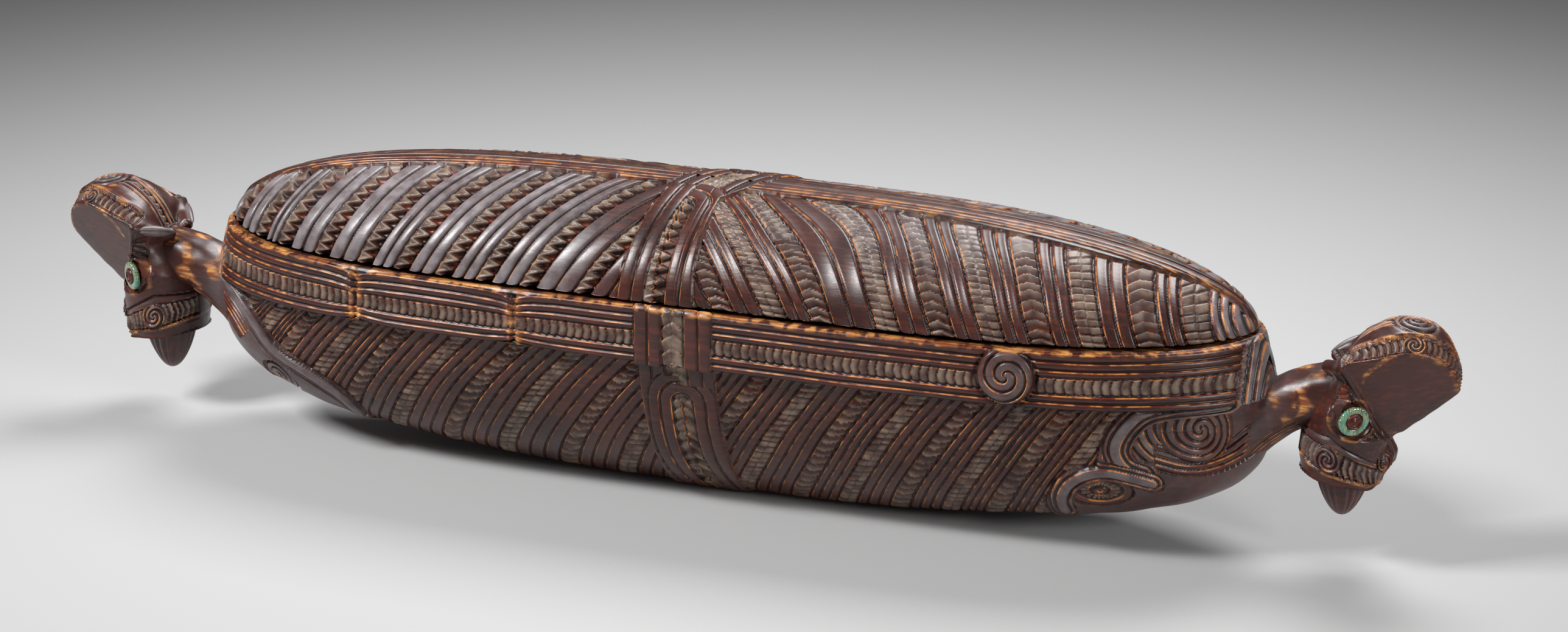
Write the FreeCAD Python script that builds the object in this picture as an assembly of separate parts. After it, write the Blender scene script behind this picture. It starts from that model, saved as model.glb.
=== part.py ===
import FreeCAD, Part
import os
from math import asin, cos, pi, radians, sin, sqrt

# A wakahuia: a lidded treasure box, carved from two blocks of wood, with a carved head at each end.
# X runs along the box, Y across it and Z up, from the middle of the flat that the box stands on.
# All lengths are in millimetres. The right-hand half is drawn, and the left one is its mirror image.

# Box: a long hull, full in plan, with a rim band that stands slightly proud of it
BOX_HALF_LENGTH = 222.0
BOX_HALF_WIDTH = 56.0
RIM_HEIGHT = 86.0
KEEL_TRIM = 2.0                 # how much of the rounded keel is worked away to make the standing flat
PLAN_LENGTH_POWER = 4.5         # |x/a|^4.5 + |y/b|^1.67 = 1 is the outline of box and lid seen from above
PLAN_WIDTH_POWER = 1.67
KEEL_DEPTH_POWER = 6.0          # (depth/keel)^6 + (x/a)^1.7 = 1 is the keel line seen from the side
KEEL_LENGTH_POWER = 1.7
RIM_BAND_HEIGHT = 22.5
RIM_BAND_PROUD = 1.5
RIM_EDGE = 1.2                  # worn edge along the top of the rim band
RIM_END_LEAN = 6.0              # how far the rim's ends lean in from the foot of the band to its top

# Hollow of the box
SIDE_WALL = 9.0
END_WALL = 14.0
HOLLOW_DEPTH = 66.0
HOLLOW_ROUNDING = 6.0           # how far the bottom of the hollow stops short of its pointed depth

# Lid: a long dome that stands on the rim and is located by a flange in the mouth of the box
LID_END_MARGIN = 9.0            # rim left bare outside the lid at each end
LID_SIDE_MARGIN = 2.4           # rim left bare outside the lid at each side
LID_RISE = 36.0
LID_WORN_TOP = 0.985            # share of the rise at which the dome is worn flat
CREST_RISE_POWER = 2.0          # (height/rise)^2 + (x/a)^3 = 1 is the crest of the lid seen from the side
CREST_LENGTH_POWER = 3.0
LID_WALL = 9.0
FLANGE_DEPTH = 6.0
FLANGE_WALL = 4.0
FLANGE_CLEARANCE = 1.0

# Raised bands that tie the carving together
WAIST_BAND_WIDTH = 31.0         # round the middle of box and lid
LID_WAIST_FROM_MIDDLE = -8.0    # the lid's band is carved a little to the left of the box's
CREST_BAND_WIDTH = 17.0         # along the top of the lid
CREST_BAND_HALF_LENGTH = 150.0
CREST_STEPS = 8                 # stations along the crest band's curve
BAND_PROUD = 1.0

# Spiral boss on the rim, and the swellings of the figure at each end of the box
BOSS_RADIUS = 11.0
BOSS_FROM_MIDDLE = 131.0
BOSS_PROUD = 1.6
SHOULDER_FROM_END = 22.0
SHOULDER_DROP = 29.0
SHOULDER_RADIUS = 17.0
HAUNCH_FROM_END = 65.0
HAUNCH_DROP = 57.0
HAUNCH_RADIUS = 20.0
SWELLING_PROUD = 3.0            # how far shoulders and haunches swell out of the hull

# Neck: rises outward from the end of the box to the back of the head
NECK_RADIUS = 11.0
NECK_ROOT_RADIUS = 13.0
NECK_ROOT_INSET = 12.0          # how far inside the end of the box the neck starts
NECK_ROOT_DROP = 29.5
NECK_TOP_DROP = 19.5
NECK_SIDES = 14                 # long flats that the neck is cut in

# Head: a round crown, with two flat plates below it that meet in a prow over the nose
RIGHT_HEAD_RAISED = 2.0         # the two heads stand a little higher and lower than their common middle
LEFT_HEAD_RAISED = -2.0
CROWN_FROM_END = 47.4           # from the end of the box to the middle of the crown
CROWN_DROP = 12.0               # from the rim's level down to the middle of the crown
CROWN_RADIUS = 21.0
PROW_FROM_CROWN = 19.1          # top of the prow's edge, measured from the middle of the crown
PROW_BELOW_CROWN = 0.0
BRIDGE_FROM_CROWN = -3.4        # bridge of the nose, where the prow's edge ends
BRIDGE_BELOW_CROWN = 23.5
TEMPLE_FROM_CROWN = -18.0       # outer end of the brow
TEMPLE_ABOVE_CROWN = 7.0
TEMPLE_OUT = 22.0

# Face: rounded sections, each given as its drop below the crown, its middle, half length and half width
EYE_BELOW_CROWN = 14.0
FACE_SECTIONS = (
    (-12.0, -13.0, 8.5, 13.0),
    (0.0, -15.0, 15.0, 20.0),
    (EYE_BELOW_CROWN, -19.0, 16.8, 20.0),
    (24.0, -21.0, 17.2, 17.8),
    (34.0, -22.0, 17.0, 18.2),
    (43.0, -22.5, 14.3, 15.2),
)
FACE_SIDES = 14                 # flats round the face, as left by the chisel
MOUTH_SLOPE = 9.0               # degrees that the mouth's underside falls from back to front
MOUTH_BELOW_CROWN = 40.5        # height of that underside below the crown at the middle of the face
MOUTH_DEPTH = 5.0
MOUTH_HALF_LENGTH = 12.5
MOUTH_HALF_WIDTH = 11.5
TONGUE_CLEARANCE = 1.6          # all round, between the tongue and the edge of the mouth
TONGUE_LENGTH = 15.5            # below the mouth
TONGUE_ROOT = 8.0               # above the mouth, inside the face
TONGUE_SIDES = 10
TONGUE_TAPER = ((0.0, 0.92), (0.35, 0.84), (0.7, 0.62), (0.92, 0.36), (1.0, 0.16))
NOSE_RADIUS = 4.2
NOSTRIL_OUT = 2.5               # from the middle of the face to the middle of the nostril
NOSTRIL_PROFILE = ((-1.0, 0.5), (-0.4, 1.0), (0.4, 1.0), (1.0, 0.5))
NOSE_SIDES = 8
EAR_HALF_LENGTH = 8.5
EAR_HALF_HEIGHT = 2.5
EAR_THICKNESS = 3.0
EAR_ROOT = 6.0                  # how deep the ear is rooted in the side of the head
EAR_TURN = 30.0                 # degrees, seen from above, that it turns in towards the nape
EAR_FROM_CROWN = -21.0
EAR_OUT = 16.0
EAR_ABOVE_CROWN = 2.5

# Eyes: a ring of shell in a shallow pocket, held by a wooden peg through its middle
EYE_ANGLE = 70.0                # degrees round the face from straight ahead
EYE_TURN = 52.0                 # degrees from straight ahead that the eye looks
EYE_SIDES = 16                  # flats round a ring, cut by hand
EYE_RING_RADIUS = 6.3
EYE_RING_BORE_RADIUS = 3.3
EYE_RING_THICKNESS = 1.6
EYE_POCKET_DEPTH = 3.0
EYE_POCKET_CLEARANCE = 0.15
EYE_PEG_CLEARANCE = 0.12
EYE_PEG_DEPTH = 6.0             # below the floor of the pocket
EYE_PEG_PROUD = 1.0             # above the face of the ring
EYE_PEG_SIDES = 10
EYE_PEG_BEVEL = 0.8

# Fineness of the outlines and lofts
PLAN_STEPS = 6                  # points in a quarter of a smooth outline, or of one on the inside
HULL_PLAN_STEPS = 14            # straight cuts in a quarter of the hull's outline
OUTER_LEVELS = 7                # outlines in the height of an outer form
INNER_LEVELS = 4                # outlines in the height of a hollow


def vector(x, y, z):
    return FreeCAD.Vector(x, y, z)


def plan_quarters(half_length, half_width, height, steps):
    """Points of |x/a|^n + |y/b|^m = 1 in four quarters, anticlockwise, closer together at the blunt ends."""
    quarter = []
    for step in range(steps + 1):
        along = 1.0 - (step / steps) ** 2
        across = (1.0 - along ** PLAN_LENGTH_POWER) ** (1.0 / PLAN_WIDTH_POWER)
        quarter.append((half_length * along, half_width * across))
    far_right = [vector(x, y, height) for x, y in quarter]
    far_left = [vector(-x, y, height) for x, y in reversed(quarter)]
    near_left = [vector(-x, -y, height) for x, y in quarter]
    near_right = [vector(x, -y, height) for x, y in reversed(quarter)]
    return far_right, far_left, near_left, near_right


def smooth_plan(half_length, half_width, height):
    """Outline of the box or the lid at one height, as four smooth curves."""
    edges = []
    for points in plan_quarters(half_length, half_width, height, PLAN_STEPS):
        curve = Part.BSplineCurve()
        curve.interpolate(points)
        edges.append(curve.toShape())
    return Part.Wire(edges)


def adzed_plan(half_length, half_width, height, steps=PLAN_STEPS):
    """The same outline in straight cuts, as the adze leaves it."""
    corners = []
    for points in plan_quarters(half_length, half_width, height, steps):
        corners += points[:-1]
    return Part.makePolygon(corners + corners[:1])


def hull_plan(half_length, half_width, height):
    """The same outline in the many short cuts of the hull, whose carving hides them."""
    return adzed_plan(half_length, half_width, height, HULL_PLAN_STEPS)


def plan_half_width(half_length, half_width, x):
    """Half width of the plan at a distance x from its middle."""
    return half_width * (1.0 - abs(x / half_length) ** PLAN_LENGTH_POWER) ** (1.0 / PLAN_WIDTH_POWER)


def hull_plan_size(depth, half_length, half_width, keel):
    """Half length and half width of a hull at a depth below the rim, by the keel line and half an ellipse."""
    share = depth / keel
    length = half_length * (1.0 - share ** KEEL_DEPTH_POWER) ** (1.0 / KEEL_LENGTH_POWER)
    return length, half_width * sqrt(1.0 - share ** 2)


def hull_form(half_length, half_width, top, bottom, keel, outline, levels):
    """Solid hull between two depths below the rim, with the outlines closer together near the bottom."""
    first = asin(top / bottom)
    loops = []
    for level in range(levels + 1):
        depth = bottom * sin(first + (0.5 * pi - first) * level / levels)
        length, width = hull_plan_size(depth, half_length, half_width, keel)
        loops.append(outline(length, width, RIM_HEIGHT - depth))
    return Part.makeLoft(loops, True, True)


def dome_form(half_length, half_width, rise, outline, levels):
    """Solid dome on the rim's level: the crest line along it, half an ellipse across it, worn flat on top."""
    loops = []
    for level in range(levels + 1):
        share = LID_WORN_TOP * sin(0.5 * pi * level / levels)
        length = half_length * (1.0 - share ** CREST_RISE_POWER) ** (1.0 / CREST_LENGTH_POWER)
        loops.append(outline(length, half_width * sqrt(1.0 - share ** 2), RIM_HEIGHT + share * rise))
    return Part.makeLoft(loops, True, True)


def half_round(length, half_width, rise, height):
    """Prism along X over half an ellipse that stands on a level, or hangs from it if the rise is negative."""
    centre = vector(-0.5 * length, 0, height)
    side = vector(0, half_width, 0)
    tip = vector(0, 0, abs(rise))
    if half_width > abs(rise):
        ellipse = Part.Ellipse(centre + side, centre + tip, centre)
    else:
        ellipse = Part.Ellipse(centre + tip, centre + side, centre)
    bar = Part.Face(Part.Wire([ellipse.toShape()])).extrude(vector(length, 0, 0))
    foot = height if rise > 0 else height - 2 * abs(rise)
    return bar.common(slab(2 * length, 4 * half_width, 2 * abs(rise), 0, 0, foot))


def slab(length, width, height, centre_x, centre_y, foot):
    """Upright block given by the middle of its foot."""
    return Part.makeBox(length, width, height,
                        vector(centre_x - 0.5 * length, centre_y - 0.5 * width, foot))


def mirrored(shape, across):
    """The shape and its mirror image in the plane through the middle that faces along the given axis."""
    return [shape, shape.mirror(vector(0, 0, 0), across)]


def four_ways(shape):
    """The shape at both ends and both sides of the box."""
    both_sides = mirrored(shape, vector(0, 1, 0))
    return both_sides + [piece.mirror(vector(0, 0, 0), vector(1, 0, 0)) for piece in both_sides]


def box_hull():
    """Outer form of the box under its rim band."""
    return hull_form(BOX_HALF_LENGTH - RIM_BAND_PROUD, BOX_HALF_WIDTH - RIM_BAND_PROUD,
                     RIM_BAND_HEIGHT, RIM_HEIGHT, RIM_HEIGHT + KEEL_TRIM, hull_plan, OUTER_LEVELS)


def rim_band():
    """Band round the top of the box, with a worn top edge and ends that lean in towards the lid."""
    foot = RIM_HEIGHT - RIM_BAND_HEIGHT
    steps = ((foot, 0.0, 0.0), (RIM_HEIGHT - RIM_EDGE, 0.0, RIM_END_LEAN),
             (RIM_HEIGHT, RIM_EDGE, RIM_END_LEAN + RIM_EDGE))
    loops = [smooth_plan(BOX_HALF_LENGTH - lean, BOX_HALF_WIDTH - inset, height)
             for height, inset, lean in steps]
    return Part.makeLoft(loops, True, True)


def box_waist_bands():
    """Raised band down both sides of the box at its middle and under the keel, and over the rim band."""
    hull_width = BOX_HALF_WIDTH - RIM_BAND_PROUD + BAND_PROUD
    under = half_round(WAIST_BAND_WIDTH, hull_width, -(RIM_HEIGHT + KEEL_TRIM), RIM_HEIGHT - RIM_EDGE)
    under = under.common(slab(WAIST_BAND_WIDTH, 4 * hull_width, RIM_HEIGHT, 0, 0, 0))
    over_rim = slab(WAIST_BAND_WIDTH, 2 * (BOX_HALF_WIDTH + BAND_PROUD), RIM_BAND_HEIGHT - RIM_EDGE,
                    0, 0, RIM_HEIGHT - RIM_BAND_HEIGHT)
    return [under, over_rim]


def box_hollow():
    """Space inside the box, cut down from the rim."""
    return hull_form(BOX_HALF_LENGTH - END_WALL, BOX_HALF_WIDTH - SIDE_WALL,
                     0.0, HOLLOW_DEPTH, HOLLOW_DEPTH + HOLLOW_ROUNDING, adzed_plan, INNER_LEVELS)


def rim_boss():
    """Round boss for the spiral on the rim, on one side, standing square to the rim."""
    side = plan_half_width(BOX_HALF_LENGTH, BOX_HALF_WIDTH, BOSS_FROM_MIDDLE)
    step = 1.0
    ahead = plan_half_width(BOX_HALF_LENGTH, BOX_HALF_WIDTH, BOSS_FROM_MIDDLE + step)
    outward = vector(side - ahead, -step, 0).normalize()
    root = vector(BOSS_FROM_MIDDLE, -side, RIM_HEIGHT - 0.5 * RIM_BAND_HEIGHT) - outward * SIDE_WALL * 0.5
    return Part.makeCylinder(BOSS_RADIUS, SIDE_WALL * 0.5 + BOSS_PROUD, root, outward)


def rim_bosses():
    """One boss on each side, at opposite ends."""
    near = rim_boss()
    far = near.copy()
    far.rotate(vector(0, 0, 0), vector(0, 0, 1), 180)
    return [near, far]


def hull_side(x, depth):
    """Half width of the hull at a distance x from its middle and a depth below the rim."""
    length, width = hull_plan_size(depth, BOX_HALF_LENGTH - RIM_BAND_PROUD, BOX_HALF_WIDTH - RIM_BAND_PROUD,
                                   RIM_HEIGHT + KEEL_TRIM)
    return plan_half_width(length, width, x)


def swelling(x, depth, radius):
    """Ball sunk in the far side of the hull until it stands out by the swelling's height."""
    step = 0.5
    here = vector(x, hull_side(x, depth), RIM_HEIGHT - depth)
    ahead = vector(x + step, hull_side(x + step, depth), RIM_HEIGHT - depth)
    below = vector(x, hull_side(x, depth + step), RIM_HEIGHT - depth - step)
    outward = (ahead - here).cross(below - here).normalize()
    return Part.makeSphere(radius, here - outward * (radius - SWELLING_PROUD))


def end_swellings():
    """Shoulders and haunches of the two end figures."""
    shoulder = swelling(BOX_HALF_LENGTH - SHOULDER_FROM_END, SHOULDER_DROP, SHOULDER_RADIUS)
    haunch = swelling(BOX_HALF_LENGTH - HAUNCH_FROM_END, HAUNCH_DROP, HAUNCH_RADIUS)
    return four_ways(shoulder) + four_ways(haunch)


def crown_centre():
    return vector(BOX_HALF_LENGTH + CROWN_FROM_END, 0, RIM_HEIGHT - CROWN_DROP)


def chiselled_oval(centre, half_length, half_width, sides):
    """Level oval in short straight cuts, with a corner straight ahead."""
    corners = []
    for step in range(sides):
        angle = 2.0 * pi * step / sides
        corners.append(centre + vector(half_length * cos(angle), half_width * sin(angle), 0))
    return Part.makePolygon(corners + corners[:1])


def neck(raised):
    """Tapered neck from inside the end of the box into the middle of a head that is raised a little."""
    head_x = crown_centre().x + FACE_SECTIONS[1][1]
    ends = ((BOX_HALF_LENGTH - NECK_ROOT_INSET, NECK_ROOT_DROP, NECK_ROOT_RADIUS),
            (head_x, NECK_TOP_DROP - raised, NECK_RADIUS))
    upright = FreeCAD.Rotation(vector(0, 0, 1), vector(1, 0, 0))
    rings = []
    for x, drop, radius in ends:
        ring = chiselled_oval(vector(0, 0, 0), radius, radius, NECK_SIDES)
        ring.Placement = FreeCAD.Placement(vector(x, 0, RIM_HEIGHT - drop), upright)
        rings.append(ring)
    return Part.makeLoft(rings, True, True)


def face_block():
    """Face below the crown, lofted through its rounded sections."""
    centre = crown_centre()
    loops = [chiselled_oval(centre + vector(middle, 0, -drop), half_length, half_width, FACE_SIDES)
             for drop, middle, half_length, half_width in FACE_SECTIONS]
    return Part.makeLoft(loops, True, True)


def plate_cut():
    """Wedge that is cut away to leave one flat plate between crown, prow and brow."""
    centre = crown_centre()
    prow = centre + vector(PROW_FROM_CROWN, 0, -PROW_BELOW_CROWN)
    bridge = centre + vector(BRIDGE_FROM_CROWN, 0, -BRIDGE_BELOW_CROWN)
    temple = centre + vector(TEMPLE_FROM_CROWN, TEMPLE_OUT, TEMPLE_ABOVE_CROWN)
    beyond = 2.0 * CROWN_RADIUS
    brow = (temple - bridge).normalize() * beyond
    rise = (prow - bridge).normalize() * beyond
    outward = rise.cross(brow).normalize() * beyond
    if outward.y < 0:
        outward = outward * -1
    corners = [bridge - brow, bridge + brow, bridge + brow + rise, bridge - brow + rise]
    return Part.Face(Part.makePolygon(corners + corners[:1])).extrude(outward)


def mouth_plane():
    """Point in the middle of the mouth's underside, and the direction square to it, downward."""
    middle = crown_centre() + vector(FACE_SECTIONS[-2][1], 0, -MOUTH_BELOW_CROWN)
    downward = vector(-sin(radians(MOUTH_SLOPE)), 0, -cos(radians(MOUTH_SLOPE)))
    return middle, downward


def mouth_placement():
    """Placement whose Z points down out of the mouth and whose X points forward."""
    middle, downward = mouth_plane()
    turn = FreeCAD.Rotation(vector(cos(radians(MOUTH_SLOPE)), 0, -sin(radians(MOUTH_SLOPE))),
                            vector(0, -1, 0), downward, "XZY")
    return FreeCAD.Placement(middle, turn)


def below_mouth():
    """Everything under the mouth's underside, which is cut from the face."""
    size = 4.0 * CROWN_RADIUS
    block = slab(size, size, size, 0, 0, 0)
    block.Placement = mouth_placement()
    return block


def mouth_recess():
    """Oval recess that leaves lips all round."""
    rim = chiselled_oval(vector(0, 0, 0), MOUTH_HALF_LENGTH, MOUTH_HALF_WIDTH, FACE_SIDES)
    recess = Part.Face(rim).extrude(vector(0, 0, -MOUTH_DEPTH))
    recess.Placement = mouth_placement()
    return recess


def tongue():
    """Tongue: tapers from inside the face, through the mouth, to a blunt tip below the lips."""
    middle = mouth_placement().Base
    length = MOUTH_HALF_LENGTH - TONGUE_CLEARANCE
    width = MOUTH_HALF_WIDTH - TONGUE_CLEARANCE
    loops = [chiselled_oval(middle + vector(0, 0, TONGUE_ROOT), length, width, TONGUE_SIDES)]
    for share, fullness in TONGUE_TAPER:
        centre = middle - vector(0, 0, share * TONGUE_LENGTH)
        loops.append(chiselled_oval(centre, length * fullness, width * fullness, TONGUE_SIDES))
    return Part.makeLoft(loops, True, True)


def ear():
    """Leaf-shaped ear on the far side of the head, under the crown and turned in towards the nape."""
    tips = [vector(-EAR_HALF_LENGTH, 0, 0), vector(EAR_HALF_LENGTH, 0, 0)]
    over = Part.Arc(tips[0], vector(0, 0, EAR_HALF_HEIGHT), tips[1]).toShape()
    under = Part.Arc(tips[1], vector(0, 0, -EAR_HALF_HEIGHT), tips[0]).toShape()
    leaf = Part.Face(Part.Wire([over, under])).extrude(vector(0, EAR_THICKNESS + EAR_ROOT, 0))
    leaf.translate(vector(0, -EAR_ROOT, 0))
    leaf.rotate(vector(0, 0, 0), vector(0, 0, 1), EAR_TURN)
    leaf.translate(crown_centre() + vector(EAR_FROM_CROWN, EAR_OUT, EAR_ABOVE_CROWN))
    return leaf


def nostril():
    """Small chiselled knob beside the tip of the nose."""
    drop, middle, half_length, half_width = FACE_SECTIONS[3]
    tip = crown_centre() + vector(middle + half_length - NOSTRIL_OUT, NOSTRIL_OUT, -drop - NOSE_RADIUS)
    loops = []
    for share, fullness in NOSTRIL_PROFILE:
        size = fullness * NOSE_RADIUS
        loops.append(chiselled_oval(tip + vector(0, 0, share * NOSE_RADIUS), size, size, NOSE_SIDES))
    return Part.makeLoft(loops, True, True)


def eye_placement():
    """Placement on the skin of the face whose Z points where the eye looks."""
    drop, middle, half_length, half_width = FACE_SECTIONS[2]
    angle = radians(EYE_ANGLE)
    seat = crown_centre() + vector(middle + half_length * cos(angle), half_width * sin(angle), -drop)
    looking = vector(cos(radians(EYE_TURN)), sin(radians(EYE_TURN)), 0)
    return FreeCAD.Placement(seat, FreeCAD.Rotation(vector(0, 0, 1), looking))


def hand_cut_disc(radius, sides, foot, height):
    """Upright prism of an even number of sides, drawn round the circle of the given radius."""
    outline = chiselled_oval(vector(0, 0, foot), radius, radius, sides)
    return Part.Face(outline).extrude(vector(0, 0, height))


def eye_pocket():
    """Pocket for the ring, and the hole for its peg in the pocket's floor."""
    pocket = hand_cut_disc(EYE_RING_RADIUS + EYE_POCKET_CLEARANCE, EYE_SIDES,
                           -EYE_POCKET_DEPTH, 2 * EYE_RING_RADIUS)
    hole = hand_cut_disc(EYE_RING_BORE_RADIUS, EYE_PEG_SIDES, -EYE_POCKET_DEPTH - EYE_PEG_DEPTH,
                         EYE_POCKET_DEPTH + EYE_PEG_DEPTH)
    both = pocket.fuse(hole)
    both.Placement = eye_placement()
    return both


def eye_ring():
    """Ring of shell that lies on the floor of its pocket."""
    ring = hand_cut_disc(EYE_RING_RADIUS, EYE_SIDES, -EYE_POCKET_DEPTH, EYE_RING_THICKNESS)
    ring = ring.cut(hand_cut_disc(EYE_RING_BORE_RADIUS, EYE_PEG_SIDES, -EYE_POCKET_DEPTH, EYE_RING_THICKNESS))
    ring.Placement = eye_placement()
    return ring


def eye_peg():
    """Whittled peg that stands on the floor of its hole, with a bevelled head in the middle of the ring."""
    radius = EYE_RING_BORE_RADIUS - EYE_PEG_CLEARANCE
    foot = -EYE_POCKET_DEPTH - EYE_PEG_DEPTH
    top = foot + EYE_PEG_DEPTH + EYE_RING_THICKNESS + EYE_PEG_PROUD
    steps = ((foot, radius), (top - EYE_PEG_BEVEL, radius), (top, radius - EYE_PEG_BEVEL))
    loops = [chiselled_oval(vector(0, 0, height), size, size, EYE_PEG_SIDES) for height, size in steps]
    peg = Part.makeLoft(loops, True, True)
    peg.Placement = eye_placement()
    return peg


def head():
    """Head at the right-hand end, at the common height of the two heads, with pockets for its eyes."""
    across = vector(0, 1, 0)
    crown = Part.makeSphere(CROWN_RADIUS, crown_centre())
    solid = crown.fuse(face_block()).cut(mirrored(plate_cut(), across))
    solid = solid.fuse(mirrored(ear(), across) + mirrored(nostril(), across))
    solid = solid.cut([below_mouth(), mouth_recess()]).fuse(tongue())
    return solid.cut(mirrored(eye_pocket(), across))


def at_right(shape):
    return shape.translated(vector(0, 0, RIGHT_HEAD_RAISED))


def at_left(shape):
    return shape.translated(vector(0, 0, LEFT_HEAD_RAISED)).mirror(vector(0, 0, 0), vector(1, 0, 0))


def box_body():
    """The box: one block of wood with its two heads."""
    whole_head = head()
    right_neck = neck(RIGHT_HEAD_RAISED)
    left_neck = neck(LEFT_HEAD_RAISED).mirror(vector(0, 0, 0), vector(1, 0, 0))
    ends = [right_neck, left_neck, at_right(whole_head), at_left(whole_head)]
    solid = box_hull().fuse([rim_band()] + box_waist_bands() + rim_bosses() + end_swellings() + ends)
    return solid.cut(box_hollow()).removeSplitter()


def lid_half_length():
    return BOX_HALF_LENGTH - LID_END_MARGIN


def lid_half_width():
    return BOX_HALF_WIDTH - LID_SIDE_MARGIN


def crest_height(x):
    """Height of the lid's crest above the rim at a distance x from its middle."""
    along = abs(x / lid_half_length()) ** CREST_LENGTH_POWER
    return LID_RISE * (1.0 - along) ** (1.0 / CREST_RISE_POWER)


def crest_band():
    """Flat-topped band along the crest of the lid, standing a little proud of it."""
    stations = [CREST_BAND_HALF_LENGTH * (2.0 * step / CREST_STEPS - 1.0) for step in range(CREST_STEPS + 1)]
    points = [vector(x, -0.5 * CREST_BAND_WIDTH, RIM_HEIGHT + crest_height(x) + BAND_PROUD) for x in stations]
    curve = Part.BSplineCurve()
    curve.interpolate(points)
    foot = RIM_HEIGHT + 0.5 * crest_height(CREST_BAND_HALF_LENGTH)
    first, last = points[0], points[-1]
    corners = [last, vector(last.x, last.y, foot), vector(first.x, first.y, foot), first]
    profile = Part.Wire([curve.toShape()] + Part.makePolygon(corners).Edges)
    return Part.Face(profile).extrude(vector(0, CREST_BAND_WIDTH, 0))


def lid_bands():
    """Band over the middle of the lid, and the band along its crest."""
    waist = half_round(WAIST_BAND_WIDTH, lid_half_width() + BAND_PROUD, LID_RISE + BAND_PROUD, RIM_HEIGHT)
    waist.translate(vector(LID_WAIST_FROM_MIDDLE, 0, 0))
    return [waist, crest_band()]


def lid_flange():
    """Ring under the lid that drops into the mouth of the box with a small clearance."""
    length = BOX_HALF_LENGTH - END_WALL - FLANGE_CLEARANCE
    width = BOX_HALF_WIDTH - SIDE_WALL - FLANGE_CLEARANCE
    face = Part.Face(adzed_plan(length, width, RIM_HEIGHT - FLANGE_DEPTH))
    return face.extrude(vector(0, 0, 2 * FLANGE_DEPTH))


def lid_hollow():
    """Space inside the lid, open at the flange's foot."""
    length = BOX_HALF_LENGTH - END_WALL - FLANGE_CLEARANCE - FLANGE_WALL
    width = BOX_HALF_WIDTH - SIDE_WALL - FLANGE_CLEARANCE - FLANGE_WALL
    mouth = Part.Face(adzed_plan(length, width, RIM_HEIGHT - 2 * FLANGE_DEPTH))
    mouth = mouth.extrude(vector(0, 0, 2 * FLANGE_DEPTH))
    return mouth.fuse(dome_form(length, width, LID_RISE - LID_WALL, adzed_plan, INNER_LEVELS))


def lid():
    dome = dome_form(lid_half_length(), lid_half_width(), LID_RISE, smooth_plan, OUTER_LEVELS)
    return dome.fuse(lid_bands() + [lid_flange()]).cut(lid_hollow()).removeSplitter()


def place_eyes(pieces):
    """A ring and a peg in each of the four eyes."""
    for part_name, shape in (("eye_ring", eye_ring()), ("eye_peg", eye_peg())):
        near = shape.mirror(vector(0, 0, 0), vector(0, 1, 0))
        for side, on_side in (("far", shape), ("near", near)):
            pieces[part_name + "_right_" + side] = at_right(on_side)
            pieces[part_name + "_left_" + side] = at_left(on_side)


def build():
    pieces = {"box_body": box_body(), "lid": lid()}
    place_eyes(pieces)
    os.makedirs("parts", exist_ok=True)
    for name, shape in pieces.items():
        print(name, "valid" if shape.isValid() else "NOT VALID", len(shape.Solids), "solid",
              round(shape.Volume / 1000.0, 2), "cm3")
        shape.exportStep("parts/" + name + ".step")


build()
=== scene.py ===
from math import cos, pi, radians, sin, sqrt

import bmesh
import bpy
import numpy as np
from mathutils import Matrix, Vector


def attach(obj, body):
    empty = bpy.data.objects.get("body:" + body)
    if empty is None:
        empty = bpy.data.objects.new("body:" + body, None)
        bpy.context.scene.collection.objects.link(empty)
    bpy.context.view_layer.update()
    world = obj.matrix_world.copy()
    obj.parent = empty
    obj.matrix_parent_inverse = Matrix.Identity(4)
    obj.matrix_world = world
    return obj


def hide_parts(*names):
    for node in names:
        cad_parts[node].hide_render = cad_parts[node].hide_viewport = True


# A wakahuia, a carved wooden treasure box with a lid and a carved head at each end.
# Shapes are worked out in millimetres in the row frame, X along the box, and meshes are in metres.
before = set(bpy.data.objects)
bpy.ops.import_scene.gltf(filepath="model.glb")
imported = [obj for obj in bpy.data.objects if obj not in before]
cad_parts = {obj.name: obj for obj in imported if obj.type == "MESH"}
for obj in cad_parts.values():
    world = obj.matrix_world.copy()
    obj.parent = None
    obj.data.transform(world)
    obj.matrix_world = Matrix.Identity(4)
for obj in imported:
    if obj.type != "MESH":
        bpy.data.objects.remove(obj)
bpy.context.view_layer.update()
MM = 0.001

# The box and the lid seen from above, and their sections
PLAN_LENGTH_POWER = 4.5
PLAN_WIDTH_POWER = 1.67
RIM = 86.0
RIM_LENGTH = 222.0
RIM_WIDTH = 56.0
RIM_DEPTH = 22.5
RIM_EDGE = 1.2
RIM_LEAN = 6.0
HULL_LENGTH = 220.5
HULL_WIDTH = 54.5
KEEL = 88.0
KEEL_POWER = 6.0
KEEL_LENGTH_POWER = 1.7
LID_LENGTH = 213.0
LID_WIDTH = 53.6
LID_RISE = 36.0
HOLLOW_LENGTH = 208.0
HOLLOW_WIDTH = 47.0
HOLLOW_DEPTH = 66.0
HOLLOW_FULL_DEPTH = 72.0
FLANGE_GAP = 1.0
FLANGE_DROP = 6.0
FLANGE_WALL = 4.0
LID_WALL = 9.0
LID_GAP = 1.4

COLUMNS = 440
HULL_ROWS = 150
RIM_ROWS = 44
LID_ROWS = 142
FLAT_ROWS = 7
HOLLOW_ROWS = 11

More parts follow.
